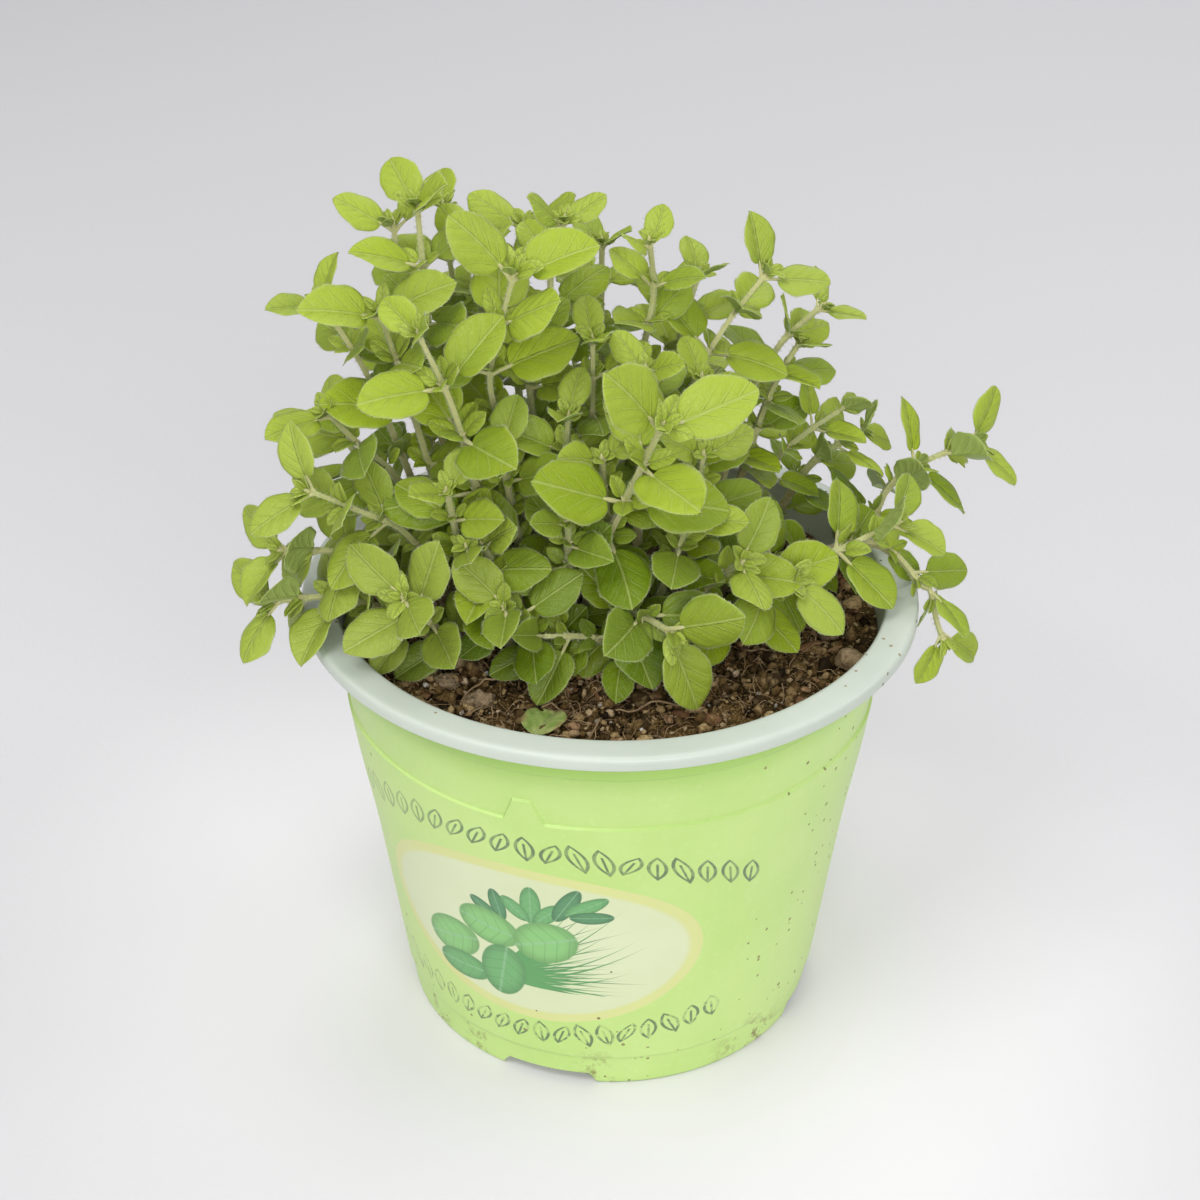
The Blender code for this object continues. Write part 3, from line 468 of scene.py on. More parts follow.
def smooth_path(points, count):
    """Evenly spaced points on a smooth curve through the given ones."""
    ends = [points[0] * 2 - points[1], *points, points[-1] * 2 - points[-2]]
    fine = []
    steps = 12
    for a, b, c, d in zip(ends, ends[1:], ends[2:], ends[3:]):
        for k in range(steps):
            t = k / steps
            fine.append(
                b + (c - a) * (t / 2) + (a * 2 - b * 5 + c * 4 - d) * (t * t / 2)
                + (b * 3 - a - c * 3 + d) * (t ** 3 / 2)
            )
    fine.append(points[-1].copy())
    lengths = [0.0]
    for p, q in zip(fine, fine[1:]):
        lengths.append(lengths[-1] + (q - p).length)
    even = []
    k = 0
    for i in range(count):
        want = lengths[-1] * i / (count - 1)
        while k < len(fine) - 2 and lengths[k + 1] < want:
            k += 1
        share = (want - lengths[k]) / max(lengths[k + 1] - lengths[k], 1e-9)
        even.append(fine[k].lerp(fine[k + 1], min(1.0, share)))
    return even


def stem_paths():
    """Every stem's middle line. Stems that come too close push each other aside."""
    paths = []
    sideways = PLANT_REACH / TABLE_REACH
    upwards = PLANT_HEIGHT / TABLE_HEIGHT
    for points, *_ in SHOOTS.values():
        foot = Vector((points[0][0] * sideways, points[0][1] * sideways, 0))
        foot.z = highest_soil(foot.x, foot.y, STEM_THICKNESS)
        route = [foot, foot + UP * STEM_RISE]
        for x, y, height in points[1:]:
            route.append(Vector((x * sideways, y * sideways, SOIL_TOP_Z + height * upwards)))
        paths.append(smooth_path(route, STEM_SAMPLES))
    for _ in range(PARTING_ROUNDS):
        for i, first in enumerate(paths):
            for second in paths[i + 1:]:
                if (first[0] - second[0]).length <= FEET_APART:
                    part_stems(first, second)
        for path in paths:
            lift_stem(path)
    return paths


def lift_stem(path):
    """Keep a stem's points above the soil, and above the rim where it crosses it."""
    clear = STEM_THICKNESS * 1.3
    for point in path[1:]:
        away = math.hypot(point.x, point.y)
        if away < soil_radius(SOIL_TOP_Z):
            point.z = max(point.z, soil_height(point.x, point.y) + clear)
        if abs(away - (WALL_TOP_RADIUS + RIM_RADIUS) / 2) < RIM_WIDTH / 2 + clear:
            point.z = max(point.z, POT_HEIGHT + clear)


def part_stems(first, second):
    """Move two stems' points apart where they are closer than the stem spacing."""
    for p in first[1:]:
        for q in second[1:]:
            apart = p - q
            gap = apart.length
            if gap < STEM_SPACING:
                push = apart * ((STEM_SPACING - gap) / (2 * max(gap, 1e-6)))
                p += push
                q -= push


def path_frames(path, ahead, side):
    """A tangent and two side directions at each point, without twisting, from the first ones."""
    frames = []
    for i in range(len(path)):
        if i:
            ahead = path[min(i + 1, len(path) - 1)] - path[i - 1]
        tangent = ahead.normalized()
        side = (side - tangent * side.dot(tangent)).normalized()
        frames.append((tangent, side.copy(), tangent.cross(side)))
    return frames


def node_shares(pairs):
    """Where the leaf pairs sit along the stem, closer together towards the tip."""
    reach = LAST_NODE - FIRST_NODE
    return [FIRST_NODE + reach * (k / (pairs - 1)) ** 0.82 for k in range(pairs)]


def leaf_length(share, longest, crown):
    """Leaves grow longer up the shoot, to three quarters of its length, and then shorter."""
    if share < LONGEST_AT:
        return longest * (LOWEST_LEAF + 0.34 * share / LONGEST_AT)
    return longest * (1 + (crown - 1) * (share - LONGEST_AT) / (1 - LONGEST_AT))


class Shoot:
    """A stem's middle line with its directions, and how thick it is."""

    def __init__(self, path, pairs, longest, crown, turn):
        self.path = path
        self.crown = crown
        self.side = Vector((math.cos(turn), math.sin(turn), 0))
        self.frames = path_frames(path, UP, self.side)
        self.shares = node_shares(pairs)
        self.longest = longest
        self.length = sum((q - p).length for p, q in zip(path, path[1:]))

    def at(self, share):
        """Middle and tangent of the stem at a share of its length, and the four ways its leaves grow."""
        place = min(max(share, 0.0), 1.0) * (len(self.path) - 1)
        k = min(int(place), len(self.path) - 2)
        middle = self.path[k].lerp(self.path[k + 1], place - k)
        tangent, side, other = self.frames[k]
        return middle, tangent, (side, other, -side, -other)

    def thickness(self, share):
        return STEM_THICKNESS + (STEM_TIP_THICKNESS - STEM_THICKNESS) * share


# ---------------------------------------------------------------- leaves

# Ways that a leaf may turn to find room: about the stem and up from it in degrees, and its size.
LEAF_POSES = [
    (0, 0, 1.0), (12, 0, 1.0), (-12, 0, 1.0), (0, 16, 1.0), (0, -16, 1.0), (20, 16, 1.0),
    (-20, 16, 1.0), (24, -14, 1.0), (-24, -14, 1.0), (0, 34, 0.95), (30, 30, 0.9),
    (-30, 30, 0.9), (0, 0, 0.8), (18, 24, 0.8), (-18, 24, 0.8), (34, 0, 0.8), (-34, 0, 0.8),
    (0, 50, 0.75), (0, 0, 0.62), (22, 34, 0.62), (-22, 34, 0.62), (0, 62, 0.55), (0, 30, 0.45),
]


class Leaf:
    """One leaf's place: its root on the stem, the way it runs and the way it faces."""

    def __init__(self, root, tangent, lateral, length, lean, pose=(0, 0, 1.0)):
        turn, rise, size = pose
        self.root = root
        self.length = length * size
        self.petiole = self.length * PETIOLE_SHARE + 0.0006
        side = Quaternion(tangent, math.radians(turn)) @ lateral
        lift = math.radians(lean + rise)
        self.run = (side * math.cos(lift) + tangent * math.sin(lift) - UP * 0.12).normalized()
        outward = Vector((root.x, root.y, 0)) / 0.045
        light = tangent * 0.3 + UP * 0.6 + outward * 0.4 + WINDOW * 0.55
        self.face = (light - self.run * light.dot(self.run)).normalized()
        self.across = self.run.cross(self.face)

    def centre(self, share):
        """Point of the blade's middle line; a share of 0 is its base and 1 its tip."""
        along = self.run * (self.petiole + self.length * share)
        return self.root + along - self.face * (self.length * LEAF_SAG * share * share)


def grown_leaves(shoot, corners):
    """The leaves that the shoot's solid has, found by their tips among its corners."""
    found = []
    for k, share in enumerate(shoot.shares):
        middle, tangent, ways = shoot.at(share)
        for face in ((0, 2) if k % 2 == 0 else (1, 3)):
            lateral = ways[face]
            root = middle + lateral * (shoot.thickness(share) / 2)
            length = leaf_length(share, shoot.longest, shoot.crown)
            lean = 20 + 28 * share ** 4
            tried = [Leaf(root, tangent, lateral, length, lean, pose) for pose in LEAF_POSES]
            gaps = [np.min(np.linalg.norm(corners - np.array(leaf.centre(1.0)), axis=1)) for leaf in tried]
            best = int(np.argmin(gaps))
            found.append((k, face, tried[best] if gaps[best] < SAME_TIP else None))
    return found


class BladeGrid:
    """Places along and across a blade, closer together at its ends and midrib, and its closed faces."""

    def __init__(self, rows, columns):
        along = (1 - np.cos(np.pi * np.linspace(0, 1, rows))) / 2
        along = 0.5 * along + 0.5 * np.linspace(0, 1, rows)
        across = np.linspace(-1, 1, columns + 1)
        across = np.sign(across) * np.abs(across) ** 1.25
        self.along, self.across = np.meshgrid(along, across, indexing="ij")
        quads = grid_faces(rows, columns + 1)
        edge = [(0, j) for j in range(columns + 1)] + [(i, columns) for i in range(1, rows)]
        edge += [(rows - 1, j) for j in range(columns - 1, -1, -1)] + [(i, 0) for i in range(rows - 2, 0, -1)]
        loop = [i * (columns + 1) + j for i, j in edge]
        size = rows * (columns + 1)
        self.faces = [quad[::-1] for quad in quads] + [tuple(k + size for k in quad) for quad in quads]
        self.faces += [(a, b, b + size, a + size) for a, b in zip(loop, loop[1:] + loop[:1])]


LARGE_GRID = BladeGrid(30, 14)
SMALL_GRID = BladeGrid(13, 8)


def add_blade(build, leaf, rng, tone, young, deep, width=LEAF_ASPECT, hairs=None):
    """One leaf blade: ovate, cupped along its midrib, quilted between its veins, wavy at the margin."""
    length = leaf.length
    grid = LARGE_GRID if length > LARGE_LEAF else SMALL_GRID
    u, v = grid.along, grid.across
    fold = rng.uniform(0.04, 0.62)
    curl = rng.uniform(0.0, 0.60)
    bend = rng.uniform(-0.10, 0.10)
    twist = rng.uniform(-0.22, 0.22)
    sag = LEAF_SAG + rng.uniform(-0.03, 0.06)
    wide = width * rng.uniform(0.94, 1.06)
    shifted = u ** 0.84
    outline = np.maximum(4 * shifted * (1 - shifted), 0) ** (0.50 + 0.19 * u * u)
    outline = np.maximum(outline, 0.012)
    half = outline * wide / 2
    wave = 1 + 0.022 * np.sin(u * 17 + rng.uniform(0, 6)) * np.abs(v) ** 3
    side = v * half * wave
    off = np.abs(side)
    phase = u - VEIN_SLOPE * off + VEIN_ARCH * off ** 2
    quilt = np.cos(2 * np.pi * (phase + 1.0) / VEIN_SPACING) * -0.5
    middle = np.clip(off / 0.05, 0, 1)
    height = fold * off - curl * off ** 2 * 2.2
    height += 0.024 * quilt * middle * (1 - np.abs(v) ** 4) * np.clip(outline * 1.6, 0, 1)
    height -= 0.016 * (1 - middle) * np.clip(1.2 - u, 0, 1)
    height += 0.02 * np.abs(v) ** 3 * np.sin(u * 9 + np.sign(v) * 1.7 + rng.uniform(0, 6))
    slew = side + bend * u * u
    turned_side = slew * np.cos(twist * u) - height * np.sin(twist * u)
    turned_height = slew * np.sin(twist * u) + height * np.cos(twist * u) - sag * u * u
    run, across, face = (np.array(leaf.run), np.array(leaf.across), np.array(leaf.face))
    base = np.array(leaf.root + leaf.run * leaf.petiole)

    def place(lift):
        steps = (u * length, turned_side * length, turned_height * length + lift)
        flat = [run * a + across * b + face * c for a, b, c in zip(*(step.ravel() for step in steps))]
        return base + np.array(flat)

    thin = LEAF_THICKNESS / 2 * np.clip(0.35 + 0.65 * (1 - np.abs(v) ** 6), 0, 1)
    rib = 0.016 * np.exp(-(off / 0.018) ** 2) * np.clip(1.05 - u, 0, 1) * length
    vein = 0.004 * (1 - middle * 0.2) * np.clip(-2 * quilt - 0.4, 0, 1) * middle * length
    top = place(thin)
    low = place(-thin - rib - vein)
    values = {
        "along": np.tile(u.ravel(), 2), "side": np.tile(side.ravel(), 2),
        "edge": np.tile(np.abs(v).ravel(), 2),
        "under": np.repeat([0.0, 1.0], u.size), "tone": tone, "young": young, "deep": deep,
    }
    build.add(np.concatenate([top, low]), grid.faces, **values)
    if hairs:
        fringe(hairs, ((top + low) / 2).reshape(*u.shape, 3), length)
    return base


def fringe(hairs, sheet, length):
    """Hairs along both margins of a blade, given its middle sheet of points."""
    count = int(length * LEAF_HAIRS)
    place = hairs.rng.uniform(0.04, 1.0, count * 2) * (len(sheet) - 1)
    row = np.minimum(place.astype(int), len(sheet) - 2)
    part = (place - row)[:, None]
    for column, inner, chosen in ((0, 2, slice(0, count)), (-1, -3, slice(count, None))):
        edge = sheet[row[chosen], column] * (1 - part[chosen]) + sheet[row[chosen] + 1, column] * part[chosen]
        inside = sheet[row[chosen], inner]
        out = edge - inside
        out /= np.linalg.norm(out, axis=1, keepdims=True) + 1e-9
        hairs.add(edge, out, LEAF_HAIR)


def add_tube(build, line, radii, sides=8, **values):
    """A closed tube with round ends along a line of points."""
    line = [Vector(point) for point in line]
    ahead = line[1] - line[0]
    frames = path_frames(line, ahead, ahead.normalized().orthogonal().normalized())
    points = []
    for point, (_, side, other), radius in zip(line, frames, radii):
        points += [point + side * (radius * c) + other * (radius * s) for c, s in circle(sides)]
    build.add(np.array(points), tube_faces(len(line), sides), **values)


# ---------------------------------------------------------------- hairs

class Hairs:
    """Fine hairs of one shoot, each a slender three-sided spike."""

    def __init__(self, seed):
        self.rng = np.random.default_rng(seed)
        self.roots, self.ways, self.lengths = [], [], []

    def add(self, roots, ways, length):
        """Hairs at the roots, pointing along the ways with some disorder."""
        roots = np.asarray(roots).reshape(-1, 3)
        ways = np.asarray(ways).reshape(-1, 3) + self.rng.normal(0, 0.32, (len(roots), 3))
        self.roots.append(roots)
        self.ways.append(ways / np.linalg.norm(ways, axis=1, keepdims=True))
        self.lengths.append(length * self.rng.uniform(0.5, 1.1, len(roots)))

    def finish(self, name):
        roots, ways = np.concatenate(self.roots), np.concatenate(self.ways)
        lengths = np.concatenate(self.lengths)[:, None]
        helper = np.where(np.abs(ways[:, 2:3]) < 0.9, [[0.0, 0.0, 1.0]], [[1.0, 0.0, 0.0]])
        side = np.cross(ways, helper)
        side /= np.linalg.norm(side, axis=1, keepdims=True)
        other = np.cross(ways, side)
        corners = [roots - ways * HAIR_SUNK + (side * math.cos(a) + other * math.sin(a)) * HAIR_RADIUS
                   for a in HAIR_CORNERS]
        points = np.stack([*corners, roots + ways * lengths], axis=1).reshape(-1, 3)
        faces = []
        for k in range(0, len(points), 4):
            faces += [(k, k + 2, k + 1), (k, k + 1, k + 3), (k + 1, k + 2, k + 3), (k + 2, k, k + 3)]
        build = Build("tone")
        build.add(points, faces, tone=np.repeat(self.rng.uniform(0, 1, len(roots)), 4))
        hairs = build.finish(name, HAIR_FINISH)
        settle(hairs, "foliage")


def hair_finish():
    """Pale, slightly see-through down."""
    f = Finish("plant_down")
    streak = f.noise(500, 2)
    colour = f.mix(f.attribute("tone"), (0.66, 0.72, 0.46), (0.84, 0.87, 0.70))
    colour = f.mix(f.span(streak, 0.4, 0.7, 0.0, 0.3), colour, (0.55, 0.62, 0.34))
    f.set(Base_Color=colour, Roughness=f.span(streak, 0.3, 0.7, 0.45, 0.6), Specular_IOR_Level=0.4)
    f.let_light_through(colour, 0.35)
    return f.material


# ---------------------------------------------------------------- one shoot with its leaves

def stem_section(angle, half):
    """Radius of the squarish stem at an angle, with a shallow groove down each side."""
    square = (abs(math.cos(angle)) ** 5 + abs(math.sin(angle)) ** 5) ** -0.2
    return half * square * (1 - 0.07 * math.cos(2 * angle) ** 4)


def add_stem(build, shoot, tone, hairs):
    """The bare stem: thicker at its nodes, rooted a little way into the soil."""
    count = max(24, int(shoot.length / STEM_STEP))
    line = smooth_path(shoot.path, count)
    line = [line[0] - UP * STEM_ROOTED, line[0] - UP * STEM_ROOTED / 2] + line
    frames = path_frames(line, UP, shoot.side)
    points, shares = [], []
    for i, (point, (_, side, other)) in enumerate(zip(line, frames)):
        share = max(0.0, (i - 2) / (count - 1))
        half = shoot.thickness(share) / 2
        for node in shoot.shares:
            half *= 1 + 0.22 * math.exp(-((share - node) * shoot.length / 0.0011) ** 2)
        half *= 1 + 0.25 * math.exp(-(share * shoot.length / 0.003) ** 2)
        if i == len(line) - 1:
            half *= 0.4
        for k in range(STEM_SIDES):
            angle = 2 * math.pi * (k + 0.5) / STEM_SIDES
            radius = stem_section(angle, half)
            points.append(point + side * (radius * math.cos(angle)) + other * (radius * math.sin(angle)))
            shares.append(share)
    build.add(np.array(points), tube_faces(len(line), STEM_SIDES), along=np.array(shares), tone=tone)
    rings = np.array(points).reshape(len(line), STEM_SIDES, 3)
    count = int(shoot.length * 1000 * STEM_HAIRS)
    row = hairs.rng.integers(3, len(line) - 1, count)
    column = hairs.rng.integers(0, STEM_SIDES, count)
    part = hairs.rng.uniform(0, 1, (count, 1))
    roots = rings[row, column] * part + rings[row, (column + 1) % STEM_SIDES] * (1 - part)
    ways = roots - np.array(line)[row]
    hairs.add(roots, ways / np.linalg.norm(ways, axis=1, keepdims=True), STEM_HAIR)


def add_leaf(blades, stalks, leaf, rng, tone, young, deep, width=LEAF_ASPECT, hairs=None):
    """A blade and the stalk that carries it."""
    base = add_blade(blades, leaf, rng, tone, young, deep, width, hairs)
    thick = max(0.00022, min(0.00050, leaf.length * 0.034))
    start = leaf.root - leaf.run * 0.0004
    end = Vector(base) + leaf.run * (leaf.length * 0.05) - leaf.face * (leaf.length * 0.004)
    droop = leaf.face * (leaf.petiole * 0.06)
    line = [start, start.lerp(end, 0.35) + droop, start.lerp(end, 0.7) + droop * 0.6, end]
    line = smooth_path(line, 7)
    radii = [thick * 1.25, thick * 1.05, thick, thick, thick * 0.95, thick * 0.9, thick * 0.5]
    add_tube(stalks, line, radii, sides=7, along=0.7, tone=1.0)


def small_leaf(root, tangent, lateral, length, lean, turn=0.0):
    return Leaf(root, tangent, lateral, length, lean, (turn, 0, 1.0))


def add_side_leaves(blades, stalks, shoot, k, face, rng, tone, young, deep):
    """The small leaves that come out of a leaf's axil."""
    share = shoot.shares[k]
    middle, tangent, ways = shoot.at(share)
    lateral = ways[face]
    root = middle + lateral * (shoot.thickness(share) * 0.4) + tangent * 0.0007
    size = leaf_length(share, shoot.longest, shoot.crown)
    for turn in (-62, 62):
        length = size * rng.uniform(0.26, 0.42)
        if length < 0.0022:
            continue
        leaf = small_leaf(root, tangent, lateral, length, rng.uniform(34, 58), turn + rng.uniform(-12, 12))
        leaf.petiole *= 0.6
        add_leaf(blades, stalks, leaf, rng, tone, min(1.0, young + 0.25), deep, 0.66)


def add_tip(blades, stalks, shoot, rng, tone):
    """The growing tip: two crossed pairs of young leaves round a bud."""
    middle, tangent, ways = shoot.at(1.0)
    size = shoot.longest * shoot.crown
    for pair, (length, lean, lift) in enumerate(((0.42, 46, 0.0), (0.24, 66, 0.0006))):
        for face in ((0, 2), (1, 3))[pair]:
            lateral = Quaternion(tangent, math.radians(45)) @ ways[face]
            root = middle + tangent * lift + lateral * (STEM_TIP_THICKNESS * 0.3)
            leaf = small_leaf(root, tangent, lateral, max(0.0016, size * length), lean)
            leaf.petiole *= 0.35
            add_leaf(blades, stalks, leaf, rng, tone, 1.0, 0.0, 0.6)
    bud = [middle + tangent * (0.0004 * k) for k in range(5)]
    add_tube(stalks, bud, [0.0005, 0.0006, 0.0005, 0.0003, 0.0001], sides=7, along=1.0, tone=1.0)


PALE_SHOOTS = ("shoot_pale_upper", "shoot_pale_middle", "shoot_pale_lower", "shoot_left_front")


def depth_in_plant(point):
    """How deep a place is inside the plant: 0 outside, 1 near the soil in the middle. The leaves' painted
    shade grows with it.
    """
    low = max(0.0, min(1.0, 1 - (point.z - SOIL_TOP_Z) / 0.045))
    inner = max(0.0, min(1.0, 1.15 - math.hypot(point.x + 0.012, point.y + 0.030) / 0.055))
    return low * inner


def make_shoot(name, shoot, number):
    """Stem and leaves of one shoot, as two pieces that stand for its solid."""
    corners = solid_corners(name)
    rng = random.Random(SHOOT_SEED + number)
    stems = Build("along", "tone")
    blades = Build("along", "side", "edge", "under", "tone", "young", "deep")
    hairs = Hairs(HAIR_SEED + number)
    add_stem(stems, shoot, rng.uniform(0.2, 1.0), hairs)
    pale = 0.95 if name in PALE_SHOOTS else 0.0
    for k, face, leaf in grown_leaves(shoot, corners):
        share = shoot.shares[k]
        tone = rng.uniform(0.05, 1.0)
        young = max(pale, 0.75 * max(0.0, share - 0.55) / 0.45) * rng.uniform(0.6, 1.0)
        place = shoot.at(share)[0]
        # Painted shade: how far this leaf's colour is darkened for lying deep inside the plant.
        deep = depth_in_plant(place) * rng.uniform(0.4, 0.95)
        if leaf:
            add_leaf(blades, stems, leaf, rng, tone, young, deep, hairs=hairs)
        add_side_leaves(blades, stems, shoot, k, face, rng, tone, young, deep)
    add_tip(blades, stems, shoot, rng, 0.8)
    stem = stems.finish(name + "_stem", STEM_FINISH, sharp=50)
    leaves = blades.finish(name + "_leaves", LEAF_FINISH)
    settle(stem, "foliage", name)
    settle(leaves, "foliage", name)
    hairs.finish(name + "_hairs")


LEAF_FINISH = leaf_finish()
HAIR_FINISH = hair_finish()
STEM_FINISH = stem_finish()
SHOOT_LIST = [
    Shoot(path, pairs, longest / 1000, crown / 100, math.radians(turn))
    for path, (_, pairs, longest, crown, turn) in zip(stem_paths(), SHOOTS.values())
]
for number, (name, shoot) in enumerate(zip(SHOOTS, SHOOT_LIST)):
    make_shoot(name, shoot, number)


# ---------------------------------------------------------------- pot

LABEL_AZIMUTH = math.radians(-21)
LABEL_HEIGHT = 0.0412
LABEL_RADIUS = 0.0515       # of the wall at the label's middle
TAB_HEIGHT = 0.0057
TAB_AZIMUTHS = (-22.3, -20.0, -16.2, -13.6)    # foot, top, top, foot of the tab on the ridge
STEP_OUT = 0.00055          # the wall below the ridge stands this much prouder
STEP_FADES = (0.010, 0.045, 0.07)       # heights: no step below the first, all of it above the last
FOOT_RIM = 0.0035           # the foot arches are cut below this height
INNER_TOP = 0.0985          # the inside's own colour ends here, where the rim begins
FINE_ROWS = (0.0735, 0.0845)            # heights between which the wall has closer rows
CLOSE_COLUMNS = (-24, -9)   # degrees between which the wall has closer columns
DRAIN_SIDES = 32
DRAIN_MARGIN = 0.001        # the cutter runs past the floor by this
CHAIN_LANE = 5.0            # millimetres along the wall for each leaf of the printed chains


def smooth_step(value, low, high):
    share = max(0.0, min(1.0, (value - low) / (high - low)))
    return share * share * (3 - 2 * share)


def round_corner(before, corner, after, radius, steps=4):
    """Points of an arc-like bend in place of a profile's corner."""
    corner = Vector(corner)
    start = corner + (Vector(before) - corner).normalized() * radius
    end = corner + (Vector(after) - corner).normalized() * radius
    bend = []
    for k in range(steps + 1):
        t = k / steps
        bend.append(start.lerp(corner, t).lerp(corner.lerp(end, t), t))
    return bend


def rounded(outline, radii, longest):
    """A closed outline with its corners rounded and its long sides divided."""
    bends = []
    for k, corner in enumerate(outline):
        before, after = outline[k - 1], outline[(k + 1) % len(outline)]
        if radii[k]:
            bends += round_corner(before, corner, after, radii[k])
        else:
            bends.append(Vector(corner))
    line = []
    for a, b in zip(bends, bends[1:] + bends[:1]):
        steps = max(1, math.ceil((b - a).length / longest))
        line += [a.lerp(b, k / steps) for k in range(steps)]
    return line


def pot_outline():
    """Closed outline of the wall, the rolled rim, the foot and the floor."""
    collar_z = POT_HEIGHT - COLLAR_HEIGHT
    under = POT_HEIGHT - WALL
    skirt = POT_HEIGHT - RIM_DROP
    corners = [
        ((RIM_RADIUS, POT_HEIGHT), 0.0013), ((RIM_RADIUS, skirt), 0.0004),
        ((RIM_RADIUS - WALL, skirt), 0.0004), ((RIM_RADIUS - WALL, under), 0.0003),
        ((wall_radius(under) + COLLAR_STEP, under), 0.0003),
        ((wall_radius(collar_z) + COLLAR_STEP, collar_z), 0.0003),
        ((wall_radius(collar_z), collar_z - COLLAR_STEP), 0.0004),
        ((wall_radius(FOOT_HEIGHT), FOOT_HEIGHT), 0.0004),
        ((wall_radius(FOOT_HEIGHT) - FOOT_STEP, FOOT_HEIGHT - FOOT_STEP), 0.0004),
        ((BASE_RADIUS - FOOT_STEP / 2, 0.0), 0.0008),
        ((BASE_RADIUS - FOOT_RING, 0.0), 0.0006), ((BASE_RADIUS - FOOT_RING, FLOOR_LIFT), 0.0004),
        ((0.0015, FLOOR_LIFT), 0), ((0.0015, FLOOR_LIFT + WALL), 0),
        ((wall_radius(FLOOR_LIFT + WALL) - WALL, FLOOR_LIFT + WALL), 0.0004),
        ((wall_radius(under) - WALL, under), 0.0003), ((wall_radius(POT_HEIGHT) - WALL, POT_HEIGHT), 0.0009),
    ]
    return rounded([place for place, _ in corners], [radius for _, radius in corners], 0.0011)


def ridge_level(azimuth):
    """Height of the step round the wall, which climbs over the tab."""
    foot_a, top_a, top_b, foot_b = TAB_AZIMUTHS
    degrees = math.degrees(azimuth)
    rise = min((degrees - foot_a) / (top_a - foot_a), (foot_b - degrees) / (foot_b - top_b), 1.0)
    return RIDGE_Z + TAB_HEIGHT * max(0.0, rise)


def arch_lift(azimuth):
    """How far the foot is cut away at an azimuth."""
    lift = 0.0
    for k in range(ARCH_COUNT):
        middle = ARCH_TURN + 2 * math.pi * k / ARCH_COUNT
        away = abs((azimuth - middle + math.pi) % (2 * math.pi) - math.pi) * BASE_RADIUS
        lift = max(lift, 1 - smooth_step(away, ARCH_WIDTH / 2 - 0.0012, ARCH_WIDTH / 2 + 0.0012))
    return lift * ARCH_HEIGHT


def pot_azimuths():
    """Azimuths of the pot's columns, closer together at the tab."""
    turns = []
    degrees = -180.0
    while degrees < 180 - 1e-6:
        turns.append(math.radians(degrees))
        degrees += 0.25 if CLOSE_COLUMNS[0] <= degrees < CLOSE_COLUMNS[1] else 1.0
    return turns


def pot_point(radius, z, turn, outer):
    """A point of the pot, moved by the step and its tab, the foot arches and a slight wobble."""
    shifted, lifted = radius, z
    if outer and STEP_FADES[0] < z < POT_HEIGHT - COLLAR_HEIGHT - 0.001:
        level = ridge_level(turn)
        shifted += STEP_OUT * smooth_step(level - z, -0.00025, 0.00025) * smooth_step(z, *STEP_FADES[1:])
    if z < FOOT_RIM and radius > BASE_RADIUS - FOOT_RING - 0.0002:
        lifted = max(z, arch_lift(turn) + z * 0.1)
    wobble = 0.00018 * math.sin(3 * turn + 0.7) + 0.00010 * math.sin(7 * turn + 60 * z)
    shifted += wobble * smooth_step(z, 0.01, 0.06)
    return shifted * math.sin(turn), -shifted * math.cos(turn), lifted


def make_pot():
    """The fine pot: a turned thin wall with its step, tab, foot arches and drain holes."""
    outline = pot_outline()
    rows = []
    for a, b in zip(outline, outline[1:] + outline[:1]):
        rows.append(a)
        outer = min(a.x, b.x) > wall_radius(a.y) - WALL * 0.3
        if outer and FINE_ROWS[0] < (a.y + b.y) / 2 < FINE_ROWS[1]:
            rows += [a.lerp(b, k / 5) for k in range(1, 5)]
    turns = pot_azimuths()
    count = len(turns)
    build = Build("print", "inner")
    points, printed, inner = [], [], []
    for radius, z in rows:
        skin = WALL * (0.35 if z > FOOT_HEIGHT else 1.4)
        outer = wall_radius(z) - skin < radius < (WALL_TOP_RADIUS + RIM_RADIUS) / 2
        outer = outer and z < POT_HEIGHT - WALL - 0.0001
        within = not outer and radius < wall_radius(z) + WALL * 0.1 and z < INNER_TOP
        points += [pot_point(radius, z, turn, outer) for turn in turns]
        printed += [float(outer)] * count
        inner += [float(within)] * count
    faces = grid_faces(len(rows), count, around=True)
    last = (len(rows) - 1) * count
    faces += [(last + j, last + (j + 1) % count, (j + 1) % count, j) for j in range(count)]
    faces = [face[::-1] for face in faces]
    build.add(np.array(points), faces, print=np.array(printed), inner=np.array(inner))
    pot = build.finish("pot_shell", POT_FINISH, sharp=38)
    drill_drains(pot)
    settle(pot, "pot", "pot")


def drill_drains(pot):
    """Cuts the drain holes through the pot's floor."""
    cut = bpy.data.objects.new("guide_drains", drain_cutter())
    cut.location = AXIS
    bpy.context.scene.collection.objects.link(cut)
    hole = pot.modifiers.new("drains", "BOOLEAN")
    hole.operation = "DIFFERENCE"
    hole.object = cut
    hole.solver = "EXACT"
    bpy.context.view_layer.update()
    solid = bpy.data.meshes.new_from_object(pot.evaluated_get(bpy.context.evaluated_depsgraph_get()))
    pot.modifiers.clear()
    pot.data = solid
    pot.data.name = "pot_shell"
    bpy.data.objects.remove(cut, do_unlink=True)


def drain_cutter():
    """Upright cylinders through the floor, one at each drain hole."""
    points, faces = [], []
    spokes = [Vector((c, s, 0)) * DRAIN_DIAMETER / 2 for c, s in circle(DRAIN_SIDES)]
    for c, s in circle(DRAIN_COUNT, 0.5):
        centre = Vector((c, s, 0)) * DRAIN_CIRCLE / 2
        faces += [tuple(k + len(points) for k in face) for face in tube_faces(2, DRAIN_SIDES)]
        for z in (FLOOR_LIFT - DRAIN_MARGIN, FLOOR_LIFT + WALL + DRAIN_MARGIN):
            points += [centre + spoke + UP * z for spoke in spokes]
    mesh = bpy.data.meshes.new("guide_drains")
    mesh.from_pydata(points, [], faces)
    return mesh


